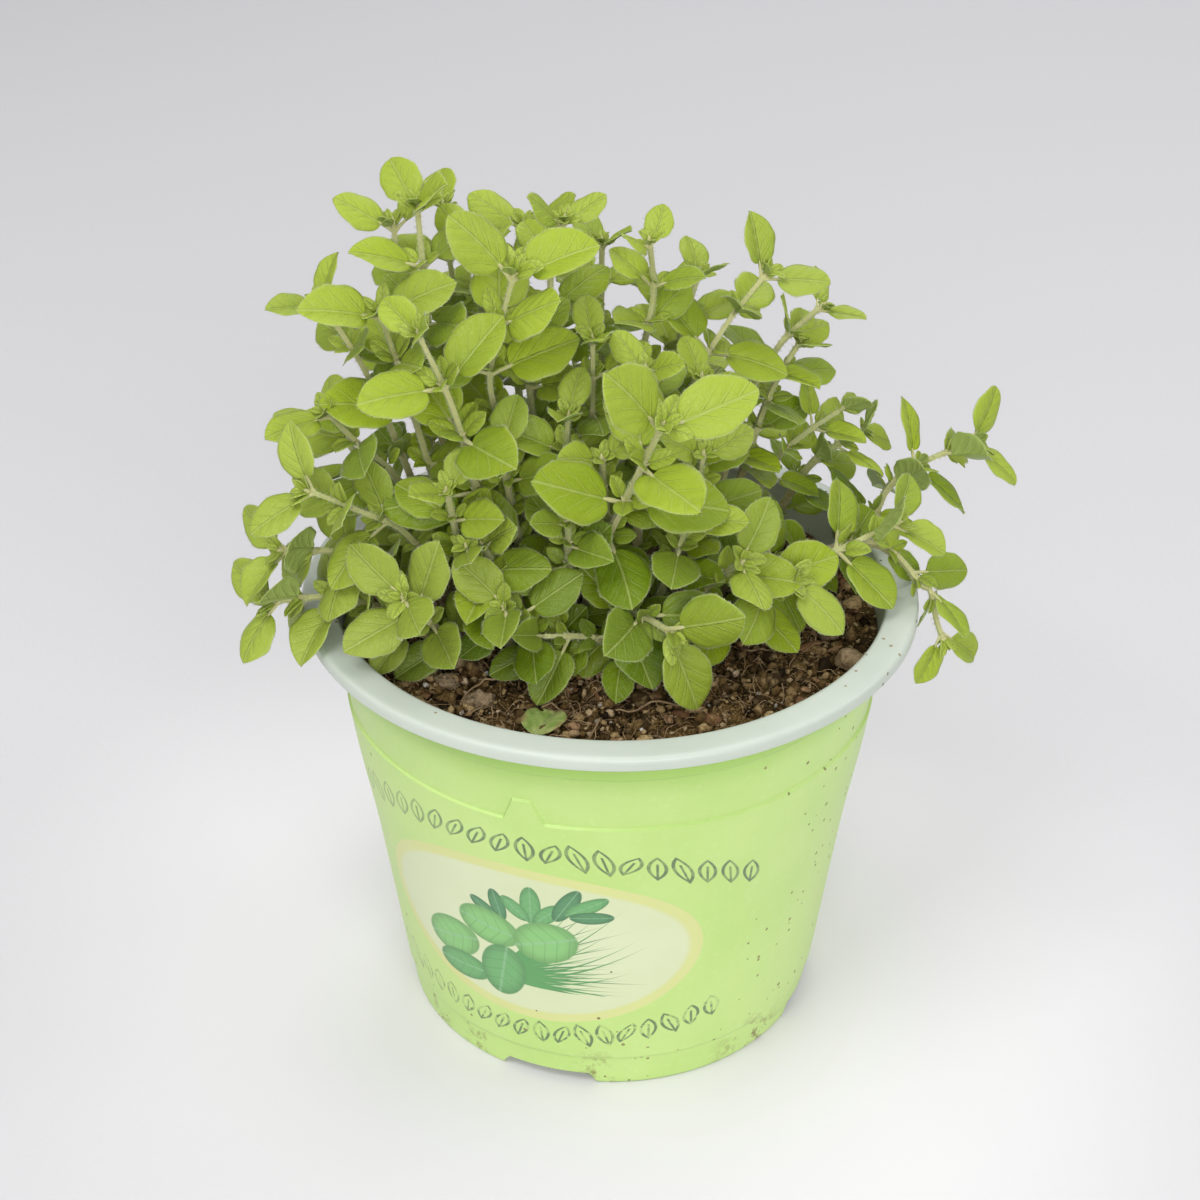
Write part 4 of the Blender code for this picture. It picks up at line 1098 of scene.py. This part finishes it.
def oval(f, x, y, centre, radii, turn):
    """Squared distance from an oval's middle, 1 at its edge."""
    c, s = math.cos(math.radians(turn)), math.sin(math.radians(turn))
    dx, dy = f.minus(x, centre[0]), f.minus(y, centre[1])
    p = f.plus(f.times(dx, c / radii[0]), f.times(dy, s / radii[0]))
    q = f.minus(f.times(dy, c / radii[1]), f.times(dx, s / radii[1]))
    return f.plus(f.times(p, p), f.times(q, q)), p, q


def herb_leaf(f, colour, x, y, centre, radii, turn, green):
    """Paints one leaf of the printed posy: dark edge, lighter middle, pale midrib."""
    edge, p, q = oval(f, x, y, centre, radii, turn)
    mask = f.span(edge, 0.90, 1.02, 1.0, 0.0)
    shade = f.mix(f.span(edge, 0.2, 1.0), tuple(min(1.0, c * 1.45) for c in green), green)
    rib = f.span(f.absolute(q), 0.02, 0.09, 0.55, 0.0)
    shade = f.mix(rib, shade, (0.30, 0.52, 0.30))
    ribs = f.math("FRACT", f.plus(f.times(p, 2.6), f.absolute(q)))
    shade = f.mix(f.span(ribs, 0.0, 0.16, 0.28, 0.0), shade, (0.02, 0.10, 0.05))
    return f.mix(mask, colour, shade)


def blades_of_grass(f, colour, x, y):
    """Paints a fan of fine curved blades that runs out to the right."""
    dx, dy = f.minus(x, -9.0), f.minus(y, -12.5)
    far = f.math("SQRT", f.plus(f.times(dx, dx), f.times(dy, dy)))
    for scale, shift, curve, reach, ink in ((19.0, 0.35, 0.007, 38, (0.05, 0.20, 0.07)),
                                            (13.0, 0.0, -0.005, 42, (0.07, 0.28, 0.08)),
                                            (25.0, 0.6, 0.003, 34, (0.11, 0.34, 0.11))):
        angle = f.math("ARCTAN2", dy, dx)
        bent = f.plus(angle, f.times(far, curve))
        lane = f.plus(f.times(bent, scale), shift)
        chance = f.random(f.math("FLOOR", lane))
        length = f.plus(f.times(chance, reach * 0.45), reach * 0.55)
        off = f.absolute(f.minus(f.math("FRACT", lane), 0.5))
        across = f.times(off, f.math("DIVIDE", far, scale))
        thin = f.times(f.minus(1.0, f.math("DIVIDE", far, length)), 0.60)
        line = f.span(f.minus(across, thin), -0.12, 0.04, 1.0, 0.0)
        inside = f.below(far, length)
        fan = f.below(f.absolute(f.minus(angle, 0.44)), 0.46)
        mask = f.times(line, f.times(inside, fan))
        colour = f.mix(f.times(mask, 0.92), colour, ink)
    return colour


def leaf_chain(f, colour, x, y, crest, bow, reach, wear):
    """Paints a bowed chain of small outlined leaves, partly worn off."""
    shifted = f.minus(x, crest[0])
    rise = f.times(f.times(shifted, shifted), bow)
    across = f.minus(y, f.plus(crest[1], rise))
    lane = f.math("DIVIDE", x, CHAIN_LANE)
    chance = f.random(f.math("FLOOR", lane))
    tilt = f.times(f.minus(chance, 0.5), 1.1)
    along = f.times(f.minus(f.math("FRACT", lane), 0.5), CHAIN_LANE)
    along = f.plus(along, f.times(across, tilt))
    tall = f.plus(2.5, f.times(chance, 0.9))
    rise = f.math("DIVIDE", across, tall)
    wide = f.times(f.minus(1.0, f.times(rise, rise)), 1.7)
    edge = f.minus(f.absolute(along), wide)
    outline = f.span(f.absolute(edge), 0.26, 0.46, 1.0, 0.0)
    rib = f.span(f.absolute(along), 0.18, 0.36, 1.0, 0.0)
    rib = f.times(rib, f.below(across, f.times(tall, 0.45)))
    ink = f.math("MAXIMUM", outline, rib)
    ink = f.times(ink, f.below(f.absolute(rise), 1.10))
    within = f.times(f.math("GREATER_THAN", x, reach[0]), f.below(x, reach[1]))
    worn = f.span(f.noise(420, 4), 0.40, 0.56, 1.0 - wear, 1.0)
    faded = f.span(x, reach[0] - 8, reach[0] + 45, 0.35, 1.0)
    ink = f.times(f.times(ink, within), f.times(worn, faded))
    return f.mix(f.times(ink, 0.84), colour, (0.060, 0.110, 0.068))


def printed_wall(f, x, y, tall, cloud):
    """The green print: two leaf chains and an oval label with a posy, and painted shade in a band under the
    rim.
    """
    green = f.mix(f.span(cloud, 0.3, 0.7), (0.494, 0.702, 0.204), (0.548, 0.731, 0.247))
    streak = f.span(f.noise(620, 2), 0.55, 0.75, 0.0, 0.22)
    green = f.mix(streak, green, (0.61, 0.80, 0.34))
    # Painted shade: the green is darkened in a band from 84 to 94 mm up, under the rim.
    green = f.mix(f.span(tall, 0.084, 0.094), green, (0.345, 0.560, 0.110))
    colour = leaf_chain(f, green, x, y, (-3.6, 28.6), -0.0042, (-45.0, 50.0), 0.30)
    colour = leaf_chain(f, colour, x, y, (-5.4, -26.6), 0.0026, (-45.0, 45.0), 0.80)
    rim, _, _ = oval(f, x, y, (0, 0), (38.5, 22.6), 0)
    colour = f.mix(f.span(rim, 0.985, 1.01, 1.0, 0.0), colour, (0.655, 0.690, 0.280))
    inside, _, _ = oval(f, x, y, (0, 0), (36.4, 20.6), 0)
    cream = f.mix(f.span(cloud, 0.3, 0.7), (0.640, 0.705, 0.430), (0.680, 0.735, 0.480))
    colour = f.mix(f.span(inside, 0.90, 1.0, 1.0, 0.0), colour, cream)
    colour = blades_of_grass(f, colour, x, y)
    dark, mid, light = (0.070, 0.190, 0.085), (0.110, 0.285, 0.105), (0.170, 0.370, 0.125)
    for centre, radii, turn, shade in (
        ((-5, 9.5), (4.6, 1.9), 100, dark), ((-8, 7), (4.4, 1.8), 145, dark),
        ((2.5, 12), (5.6, 2.3), 88, mid), ((-1, 10), (4.0, 2.0), 135, mid),
        ((6, 10), (4.4, 2.0), 48, mid), ((10, 13.5), (5.6, 2.1), 62, dark),
        ((14, 13.5), (5.2, 1.9), 32, mid), ((15, 10.5), (4.6, 1.8), 4, dark),
        ((-8, 2), (7.6, 5.2), -8, light), ((5, 1.5), (7.4, 6.0), 20, light),
        ((-18.5, -6), (7.8, 5.4), 18, light), ((-16.5, -13.5), (7.4, 3.9), 6, mid),
        ((-5.5, -10), (7.8, 5.6), 78, mid),
    ):
        colour = herb_leaf(f, colour, x, y, centre, radii, turn, shade)
    return colour


def dirt_specks(f, azimuth, tall):
    """Where specks of dirt sit, thickest near the foot and round the right side, and their colour."""
    low = f.span(tall, 0.0, 0.030, 1.0, 0.0)
    high = f.span(tall, 0.085, 0.094)
    grime = f.plus(f.times(low, 0.085), f.times(high, 0.006))
    grime = f.plus(grime, 0.004)
    side = f.times(f.span(azimuth, 0.40, 0.95), 0.075)
    grime = f.plus(grime, side)
    distance, pick = f.spots(760)
    size = f.plus(0.12, f.times(pick[1], 0.24))
    speck = f.times(f.below(pick[0], grime), f.below(distance, size))
    brown = f.mix(pick[2], (0.10, 0.075, 0.03), (0.30, 0.24, 0.11))
    return speck, brown


def pot_finish():
    """Mint plastic with a green printed wall: an oval label, a posy, leaf chains, and garden dirt."""
    f = Finish("pot_printed")
    axes = f.node("ShaderNodeSeparateXYZ")
    f.plug(axes.inputs[0], f.place())
    east, north, tall = axes.outputs
    azimuth = f.math("ARCTAN2", east, f.times(north, -1.0))
    x = f.times(f.minus(azimuth, LABEL_AZIMUTH), LABEL_RADIUS * 1000)
    y = f.times(f.minus(tall, LABEL_HEIGHT), 1000.0)
    cloud = f.noise(38, 4)
    mint = f.mix(f.span(cloud, 0.3, 0.7), (0.510, 0.565, 0.490), (0.560, 0.610, 0.535))
    wall = f.mix(f.attribute("inner"), mint, (0.60, 0.68, 0.55))
    printed = f.span(f.attribute("print"), 0.4, 0.6)
    colour = f.mix(printed, wall, printed_wall(f, x, y, tall, cloud))
    speck, brown = dirt_specks(f, azimuth, tall)
    colour = f.mix(f.times(speck, 0.85), colour, brown)
    smear = f.times(f.span(f.noise(210, 5, 0.7), 0.50, 0.62), f.span(tall, 0.001, 0.013, 1.0, 0.0))
    for middle, width in ((-0.70, 0.13), (-0.97, 0.10), (-0.06, 0.16), (0.75, 0.30), (2.4, 0.3)):
        near = f.span(f.absolute(f.minus(azimuth, middle)), 0.0, width, 0.95, 0.0)
        colour = f.mix(f.times(smear, near), colour, (0.20, 0.16, 0.05))
    fine = f.noise(2400, 2)
    height = f.plus(f.times(fine, 0.25), f.times(f.noise(160, 2), 1.0))
    height = f.plus(height, f.times(speck, 2.0))
    rough = f.plus(f.span(cloud, 0.25, 0.75, 0.34, 0.46), f.times(speck, 0.4))
    return f.set(Base_Color=colour, Roughness=rough, Normal=f.bump(height, 0.00012, 0.5),
                 Specular_IOR_Level=0.5, Coat_Weight=0.12, Coat_Roughness=0.3)


POT_FINISH = pot_finish()
make_pot()


# ---------------------------------------------------------------- soil and what lies on it

FALLEN_LEAF_TURN = math.radians(62)
FALLEN_LEAF_LENGTH = 0.0098
SOIL_INSET = 0.0001         # the fine root ball stays this far inside the plain one
SOIL_ROWS = 12              # down its side
FIBRE_STEPS = 7
LUMP_SUNK = 0.0006


def grain(x, y):
    """Fine relief of the soil at a place: crumbs of several sizes and small hollows."""
    place = Vector((x * 1000, y * 1000, 0))
    broad = noise.fractal(place * 0.16 + Vector((7, 3, 1)), 0.8, 2.1, 3)
    lumps = 0.0
    for size, tall in ((0.36, 0.00085), (0.75, 0.0005)):
        spot = place * size + Vector((11, 5, 2))
        near = noise.voronoi(spot, distance_metric="DISTANCE", exponent=2.5)[0][0]
        lumps += tall * max(0.0, 1 - near * near * 2.2)
    fine = noise.fractal(place * 1.4, 0.7, 2.0, 3)
    return 0.0011 * broad + 1.3 * lumps + 0.00030 * fine - 0.0006


def fine_soil(x, y):
    """Height of the fine soil; it keeps to the plain height at the wall."""
    edge = min(1.0, math.hypot(x, y) / soil_radius(SOIL_TOP_Z))
    return soil_height(x, y) + grain(x, y) * (1 - edge ** 24)


def make_soil():
    """The root ball with its crumbly top."""
    points = []
    top = soil_radius(SOIL_TOP_Z) - SOIL_INSET
    around = circle(SOIL_SEGMENTS)
    for i in range(SOIL_RINGS):
        radius = top * (1 - i / SOIL_RINGS)
        points += [(radius * c, radius * s, fine_soil(radius * c, radius * s)) for c, s in around]
    points.append((0, 0, fine_soil(0, 0)))
    hub = len(points) - 1
    faces = grid_faces(SOIL_RINGS, SOIL_SEGMENTS, around=True)
    last = (SOIL_RINGS - 1) * SOIL_SEGMENTS
    faces += [(last + j, last + (j + 1) % SOIL_SEGMENTS, hub) for j in range(SOIL_SEGMENTS)]
    start = len(points)
    for i in range(1, SOIL_ROWS + 1):
        z = SOIL_TOP_Z + (SOIL_BOTTOM_Z - SOIL_TOP_Z) * i / SOIL_ROWS
        radius = soil_radius(z) - SOIL_INSET
        points += [(radius * c, radius * s, z) for c, s in around]
    side = grid_faces(SOIL_ROWS, SOIL_SEGMENTS, around=True)
    below = [tuple(start + k for k in face) for face in side]
    for j in range(SOIL_SEGMENTS):
        k = (j + 1) % SOIL_SEGMENTS
        below.append((j, k, start + k, start + j))
    faces += [face[::-1] for face in below]
    foot = start + (SOIL_ROWS - 1) * SOIL_SEGMENTS
    faces.append(tuple(foot + j for j in range(SOIL_SEGMENTS))[::-1])
    build = Build()
    build.add(np.array(points), faces)
    settle(build.finish("soil_bed", SOIL_FINISH), "soil", "soil")


def ball(subdivisions):
    """Points and faces of a round ball."""
    work = bmesh.new()
    bmesh.ops.create_icosphere(work, subdivisions=subdivisions, radius=1.0)
    points = np.array([vert.co for vert in work.verts])
    faces = [tuple(vert.index for vert in face.verts) for face in work.faces]
    work.free()
    return points, faces


BALLS = {level: ball(level) for level in (1, 2, 3, 4)}


def lump(level, halves, rng, roughness, angular=0.0):
    """Points of an irregular lump about its middle."""
    points = BALLS[level][0].copy()
    shift = Vector([rng.uniform(-50, 50) for _ in range(3)])
    swell = np.array([
        1 + roughness * noise.fractal(Vector(p) * 1.3 + shift, 0.9, 2.2, 3) for p in points
    ])
    points *= swell[:, None]
    if angular:
        for _ in range(5):
            way = np.array([rng.gauss(0, 1) for _ in range(3)])
            way /= np.linalg.norm(way)
            cut = points @ way
            points -= np.outer(np.clip(cut - (1 - angular), 0, None), way)
    return points * np.array(halves)


def random_turn(rng, tilt=math.pi):
    """A random rotation, leaning no more than tilt from upright."""
    spin = Matrix.Rotation(rng.uniform(0, 2 * math.pi), 3, "Z")
    lean = Matrix.Rotation(rng.uniform(-tilt, tilt), 3, "X")
    return np.array(spin @ lean @ Matrix.Rotation(rng.uniform(0, 2 * math.pi), 3, "Z"))


def soil_place(rng, margin):
    """A random place on the soil, at least a margin from the wall."""
    while True:
        reach = soil_radius(SOIL_TOP_Z) - margin
        x, y = rng.uniform(-reach, reach), rng.uniform(-reach, reach)
        if math.hypot(x, y) < reach:
            return x, y


def scatter(name, count, sizes, shape, finish, seed, level, roughness, angular, sink, tilt=math.pi):
    """Many loose lumps of one kind, pressed into the soil, as one piece."""
    rng = random.Random(seed)
    build = Build("tone")
    for _ in range(count):
        size = sizes[0] + (sizes[1] - sizes[0]) * rng.random() ** 2.2
        halves = [size * part * rng.uniform(0.8, 1.2) / 2 for part in shape]
        x, y = soil_place(rng, max(halves) + 0.0006)
        points = lump(level, halves, rng, roughness, angular) @ random_turn(rng, tilt).T
        low = points[:, 2].min()
        z = fine_soil(x, y) - low - sink * (points[:, 2].max() - low)
        points += np.array([x, y, z])
        build.add(points, BALLS[level][1], tone=rng.random())
    piece = build.finish(name, finish, sharp=60 if angular else None)
    settle(piece, "soil")


def make_fibres(name, count, seed, finish, longest, thick):
    """Coir fibres and fine roots lying on the soil."""
    rng = random.Random(seed)
    build = Build("along", "tone")
    for _ in range(count):
        x, y = soil_place(rng, 0.004)
        heading = rng.uniform(0, 2 * math.pi)
        step = longest * rng.uniform(0.35, 1.0) / FIBRE_STEPS
        line = []
        lift = rng.uniform(0.0, 0.0009)
        for k in range(FIBRE_STEPS + 1):
            arch = lift * math.sin(math.pi * k / FIBRE_STEPS) * 2
            line.append(Vector((x, y, fine_soil(x, y) + thick * 0.8 + arch)))
            heading += rng.uniform(-0.5, 0.5)
            x, y = x + step * math.cos(heading), y + step * math.sin(heading)
            away = math.hypot(x, y)
            if away > soil_radius(SOIL_TOP_Z) - 0.0015:
                break
        if len(line) > 3:
            line = smooth_path(line, 10)
            radius = thick * rng.uniform(0.5, 1.0) / 2
            add_tube(build, line, [radius * 0.5] + [radius] * 8 + [radius * 0.4], sides=5,
                     along=rng.random(), tone=rng.random())
    settle(build.finish(name, finish), "soil")


def soil_finish():
    """Dark potting mix: damp brown patches, paler dry crumbs and fine pale grit."""
    f = Finish("soil_mix")
    patch = f.noise(130, 5, 0.65)
    grit = f.noise(1500, 4, 0.65)
    colour = f.mix(f.span(patch, 0.30, 0.66), (0.005, 0.0028, 0.0009), (0.150, 0.090, 0.030))
    colour = f.mix(f.span(grit, 0.50, 0.70), colour, (0.400, 0.262, 0.110))
    colour = f.mix(f.span(grit, 0.30, 0.46, 0.85, 0.0), colour, (0.004, 0.002, 0.001))
    distance, pick = f.spots(1100)
    pale = f.times(f.below(pick[0], 0.07), 0.9)
    colour = f.mix(pale, colour, (0.55, 0.41, 0.24))
    height = f.plus(grit, f.times(distance, 0.6))
    f.set(Base_Color=colour, Normal=f.bump(height, 0.0008, 1.0), Specular_IOR_Level=0.08)
    return f.set(Roughness=f.span(grit, 0.3, 0.7, 0.80, 0.98))


def crumb_finish(name, dark, mid, pale, share, distance=0.0003):
    """Loose matter: a tone per lump between three colours, mottled all over."""
    f = Finish(name)
    tone = f.attribute("tone")
    grit = f.noise(1700, 4, 0.6)
    colour = f.mix(f.span(tone, 0.0, share), dark, mid)
    colour = f.mix(f.span(tone, share, 1.0), colour, pale)
    colour = f.mix(f.span(grit, 0.42, 0.68, 0.0, 0.70), colour, tuple(c * 0.25 for c in mid))
    colour = f.mix(f.span(f.noise(420, 3), 0.5, 0.75, 0.0, 0.5), colour, pale)
    return f.set(Base_Color=colour, Normal=f.bump(grit, distance, 0.9), Specular_IOR_Level=0.12,
                 Roughness=f.span(grit, 0.3, 0.7, 0.72, 0.95))


def fibre_finish():
    """Coir: brown to straw, streaked."""
    f = Finish("coir_fibre")
    tone = f.attribute("tone")
    streak = f.noise(1300, 3)
    colour = f.mix(tone, (0.090, 0.050, 0.022), (0.42, 0.28, 0.14))
    colour = f.mix(f.span(streak, 0.4, 0.7, 0.0, 0.5), colour, (0.42, 0.30, 0.17))
    return f.set(Base_Color=colour, Normal=f.bump(streak, 0.0001, 0.6),
                 Roughness=f.span(streak, 0.3, 0.7, 0.6, 0.85))


def fallen_leaf_finish():
    """A shed leaf going brown at its edges."""
    f = Finish("fallen_leaf")
    side, along = f.attribute("side"), f.attribute("along")
    off = f.absolute(side)
    midrib = f.span(off, 0.006, 0.03, 1.0, 0.0)
    patch = f.noise(330, 4)
    colour = f.mix(f.span(patch, 0.35, 0.65), (0.20, 0.30, 0.06), (0.38, 0.44, 0.14))
    brown = f.times(f.span(f.attribute("edge"), 0.55, 1.0), f.span(f.noise(500, 3), 0.4, 0.6))
    colour = f.mix(f.times(brown, 0.85), colour, (0.24, 0.15, 0.06))
    colour = f.mix(f.times(midrib, 0.5), colour, (0.50, 0.52, 0.25))
    tip = f.span(along, 0.8, 1.0, 0.0, 0.5)
    colour = f.mix(tip, colour, (0.26, 0.17, 0.07))
    return f.set(Base_Color=colour, Roughness=f.span(patch, 0.3, 0.7, 0.55, 0.75),
                 Normal=f.bump(f.minus(patch, midrib), 0.0003, 0.7))


def fine_lump(name, level, roughness, angular, finish, slot, seed, swell=1.06):
    """A detailed lump in the place and size of one of the frame's crumbs."""
    middle = solid_middle(name)
    corners = solid_corners(name, middle)
    _, ways = np.linalg.eigh(corners.T @ corners)
    halves = [np.abs(corners @ ways[:, k]).max() * swell for k in range(3)]
    rng = random.Random(seed)
    points = lump(level, halves, rng, roughness, angular) @ ways.T + np.array(middle)
    points[:, 2] -= LUMP_SUNK
    build = Build("tone")
    build.add(points, BALLS[level][1], tone=rng.random())
    piece = build.finish(name + "_fine", finish, sharp=55 if angular else None)
    settle(piece, slot, name)


def make_fallen_leaf():
    """The shed leaf in the place of the frame's one, lying on its back with its edges up."""
    middle = solid_middle("fallen_leaf")
    leaf = Leaf(middle, UP, Vector((1, 0, 0)), FALLEN_LEAF_LENGTH * 1.08, 0)
    turn = FALLEN_LEAF_TURN
    leaf.run = Vector((math.cos(turn), math.sin(turn), 0.06)).normalized()
    leaf.face = (UP - leaf.run * leaf.run.z).normalized()
    leaf.across = leaf.run.cross(leaf.face)
    leaf.petiole = 0.0
    leaf.root = middle - leaf.run * (leaf.length / 2) + UP * 0.0006
    rng = random.Random(77)
    blades = Build("along", "side", "edge", "under", "tone", "young", "deep")
    add_blade(blades, leaf, rng, 0.5, 0.5, 0.0, 0.86)
    stalk = [leaf.root + leaf.run * 0.0005, leaf.root - leaf.run * 0.0012 - UP * 0.0004,
             leaf.root - leaf.run * 0.0028 - UP * 0.0011]
    add_tube(blades, smooth_path(stalk, 6), [0.0004] * 5 + [0.0002], sides=6, edge=0.8)
    piece = blades.finish("fallen_leaf_fine", fallen_leaf_finish())
    settle(piece, "fallen_leaf", "fallen_leaf")


SOIL_FINISH = soil_finish()
DARK_CRUMB, TAN_CHIP, BARK, GRIT, STONE, CLOD = (crumb_finish(*looks) for looks in (
    ("soil_crumb", (0.006, 0.0032, 0.0012), (0.160, 0.096, 0.034), (0.55, 0.39, 0.19), 0.64),
    ("tan_chip", (0.26, 0.165, 0.080), (0.52, 0.36, 0.19), (0.72, 0.57, 0.38), 0.5),
    ("bark", (0.075, 0.038, 0.018), (0.20, 0.105, 0.050), (0.38, 0.23, 0.12), 0.5),
    ("pale_grit", (0.30, 0.27, 0.22), (0.50, 0.46, 0.38), (0.72, 0.69, 0.62), 0.5, 0.0002),
    ("stone", (0.34, 0.23, 0.12), (0.42, 0.30, 0.17), (0.55, 0.42, 0.27), 0.5),
    ("clod", (0.11, 0.072, 0.040), (0.20, 0.140, 0.082), (0.34, 0.25, 0.15), 0.5, 0.0005),
))
make_soil()
scatter("soil_crumbs", 2300, (0.0007, 0.0028), (1.0, 0.85, 0.7), DARK_CRUMB, 11, 1, 0.40, 0.0, 0.20)
scatter("soil_clods", 330, (0.0020, 0.0050), (1.0, 0.80, 0.65), DARK_CRUMB, 12, 2, 0.60, 0.0, 0.30)
scatter("tan_chips", 420, (0.0006, 0.0030), (1.0, 0.7, 0.5), TAN_CHIP, 13, 1, 0.25, 0.25, 0.25)
scatter("bark_bits", 260, (0.0016, 0.0062), (1.0, 0.42, 0.26), BARK, 14, 2, 0.30, 0.30, 0.30, 0.6)
scatter("pale_grit_bits", 120, (0.0005, 0.0019), (1.0, 0.85, 0.75), GRIT, 15, 1, 0.20, 0.25, 0.25)
FIBRE = fibre_finish()
make_fibres("coir_fibres", 620, 21, FIBRE, 0.011, 0.00022)
make_fibres("coarse_fibres", 60, 22, FIBRE, 0.016, 0.00055)
fine_lump("stone_tan", 4, 0.16, 0.30, STONE, "stone", 31)
fine_lump("clod_left", 4, 0.42, 0.0, CLOD, "clod", 32)
fine_lump("clod_right", 4, 0.42, 0.0, CLOD, "clod", 33)
fine_lump("clod_front", 4, 0.42, 0.0, CLOD, "clod", 34)
fine_lump("bark_chip", 4, 0.25, 0.30, BARK, "bark", 35)
make_fallen_leaf()


# ---------------------------------------------------------------- floor, light and camera

FLOOR_REACH = 6.0
WORLD_GLOW = 0.27
LIGHTS = {                  # place, height aimed at, width and depth, power
    "box_key": ((-0.45, -0.55, 1.20), 0.06, 0.6, 0.5, 6.3),
    "box_front": ((0.15, -1.15, 0.62), 0.05, 1.0, 0.6, 9.9),
    "box_top": ((0.15, 0.25, 1.25), 0.08, 0.9, 0.9, 4.4),
    "box_right": ((1.05, 0.1, 0.75), 0.08, 0.8, 0.8, 3.2),
    "box_left": ((-1.05, 0.1, 0.75), 0.08, 0.8, 0.8, 2.5),
    "box_back": ((0.30, 1.25, 0.85), 0.08, 0.9, 0.7, 4.2),
}
CAMERA_ELEVATION = math.radians(31.61)
CAMERA_DISTANCE = 0.51004   # from the point it looks at, which is this high and this far aside
CAMERA_HEIGHT = 0.09534
CAMERA_ASIDE = -0.002308


def make_floor():
    """A plain studio floor with painted light: paler round the pot, which lifts the shade that the pot casts.
    """
    mesh = bpy.data.meshes.new("studio_floor")
    corners = [(x * FLOOR_REACH, y * FLOOR_REACH, 0) for x, y in ((-1, -1), (1, -1), (1, 1), (-1, 1))]
    mesh.from_pydata(corners, [], [(0, 1, 2, 3)])
    f = Finish("studio_paper")
    paper = f.noise(900, 3)
    colour = f.mix(f.span(paper, 0.3, 0.7), (0.620, 0.610, 0.627), (0.633, 0.623, 0.640))
    from_pot = f.node("ShaderNodeVectorMath", operation="LENGTH")
    f.plug(from_pot.inputs[0], f.place())
    # Painted light: the floor is paler near the pot, fading out between 6 and 18 cm from the middle.
    colour = f.mix(f.span(from_pot.outputs["Value"], 0.06, 0.18, 1.0, 0.0), colour, (0.780, 0.758, 0.796))
    f.set(Base_Color=colour, Roughness=0.85, Specular_IOR_Level=0.2, Normal=f.bump(paper, 0.00005, 0.3))
    mesh.materials.append(f.material)
    floor = bpy.data.objects.new("studio_floor", mesh)
    bpy.context.scene.collection.objects.link(floor)


def add_light(name, place, height, width, depth, power):
    """A soft box that points at a height on the pot's axis."""
    data = bpy.data.lights.new(name, "AREA")
    data.energy = power
    data.shape = "RECTANGLE"
    data.size = width
    data.size_y = depth
    lamp = bpy.data.objects.new(name, data)
    lamp.location = Vector(place) + AXIS
    lamp.rotation_euler = (UP * height - Vector(place)).to_track_quat("-Z", "Y").to_euler()
    bpy.context.scene.collection.objects.link(lamp)


def light_studio():
    """Soft boxes on all sides and above, and an even glow from all round."""
    scene = bpy.context.scene
    world = bpy.data.worlds.new("studio")
    world.use_nodes = True
    back = world.node_tree.nodes["Background"]
    back.inputs[0].default_value = (0.97, 0.98, 1.0, 1)
    back.inputs[1].default_value = WORLD_GLOW
    scene.world = world
    for name, looks in LIGHTS.items():
        add_light(name, *looks)
    scene.view_settings.view_transform = "Standard"
    scene.view_settings.look = "None"
    scene.view_settings.exposure = 0.0
    scene.view_settings.gamma = 1.0


def aim_camera():
    """The studio camera: 72 mm lens, 31.6 degrees above level, half a metre away."""
    data = bpy.data.cameras.new("camera")
    data.lens = 72
    data.sensor_width = 36
    data.clip_start = 0.01
    data.clip_end = 20
    camera = bpy.data.objects.new("camera", data)
    back = -math.cos(CAMERA_ELEVATION) * CAMERA_DISTANCE
    height = CAMERA_HEIGHT + math.sin(CAMERA_ELEVATION) * CAMERA_DISTANCE
    camera.location = Vector((CAMERA_ASIDE, back, height)) + AXIS
    camera.rotation_euler = (math.pi / 2 - CAMERA_ELEVATION, 0, 0)
    bpy.context.scene.collection.objects.link(camera)
    bpy.context.scene.camera = camera


make_floor()
light_studio()
aim_camera()
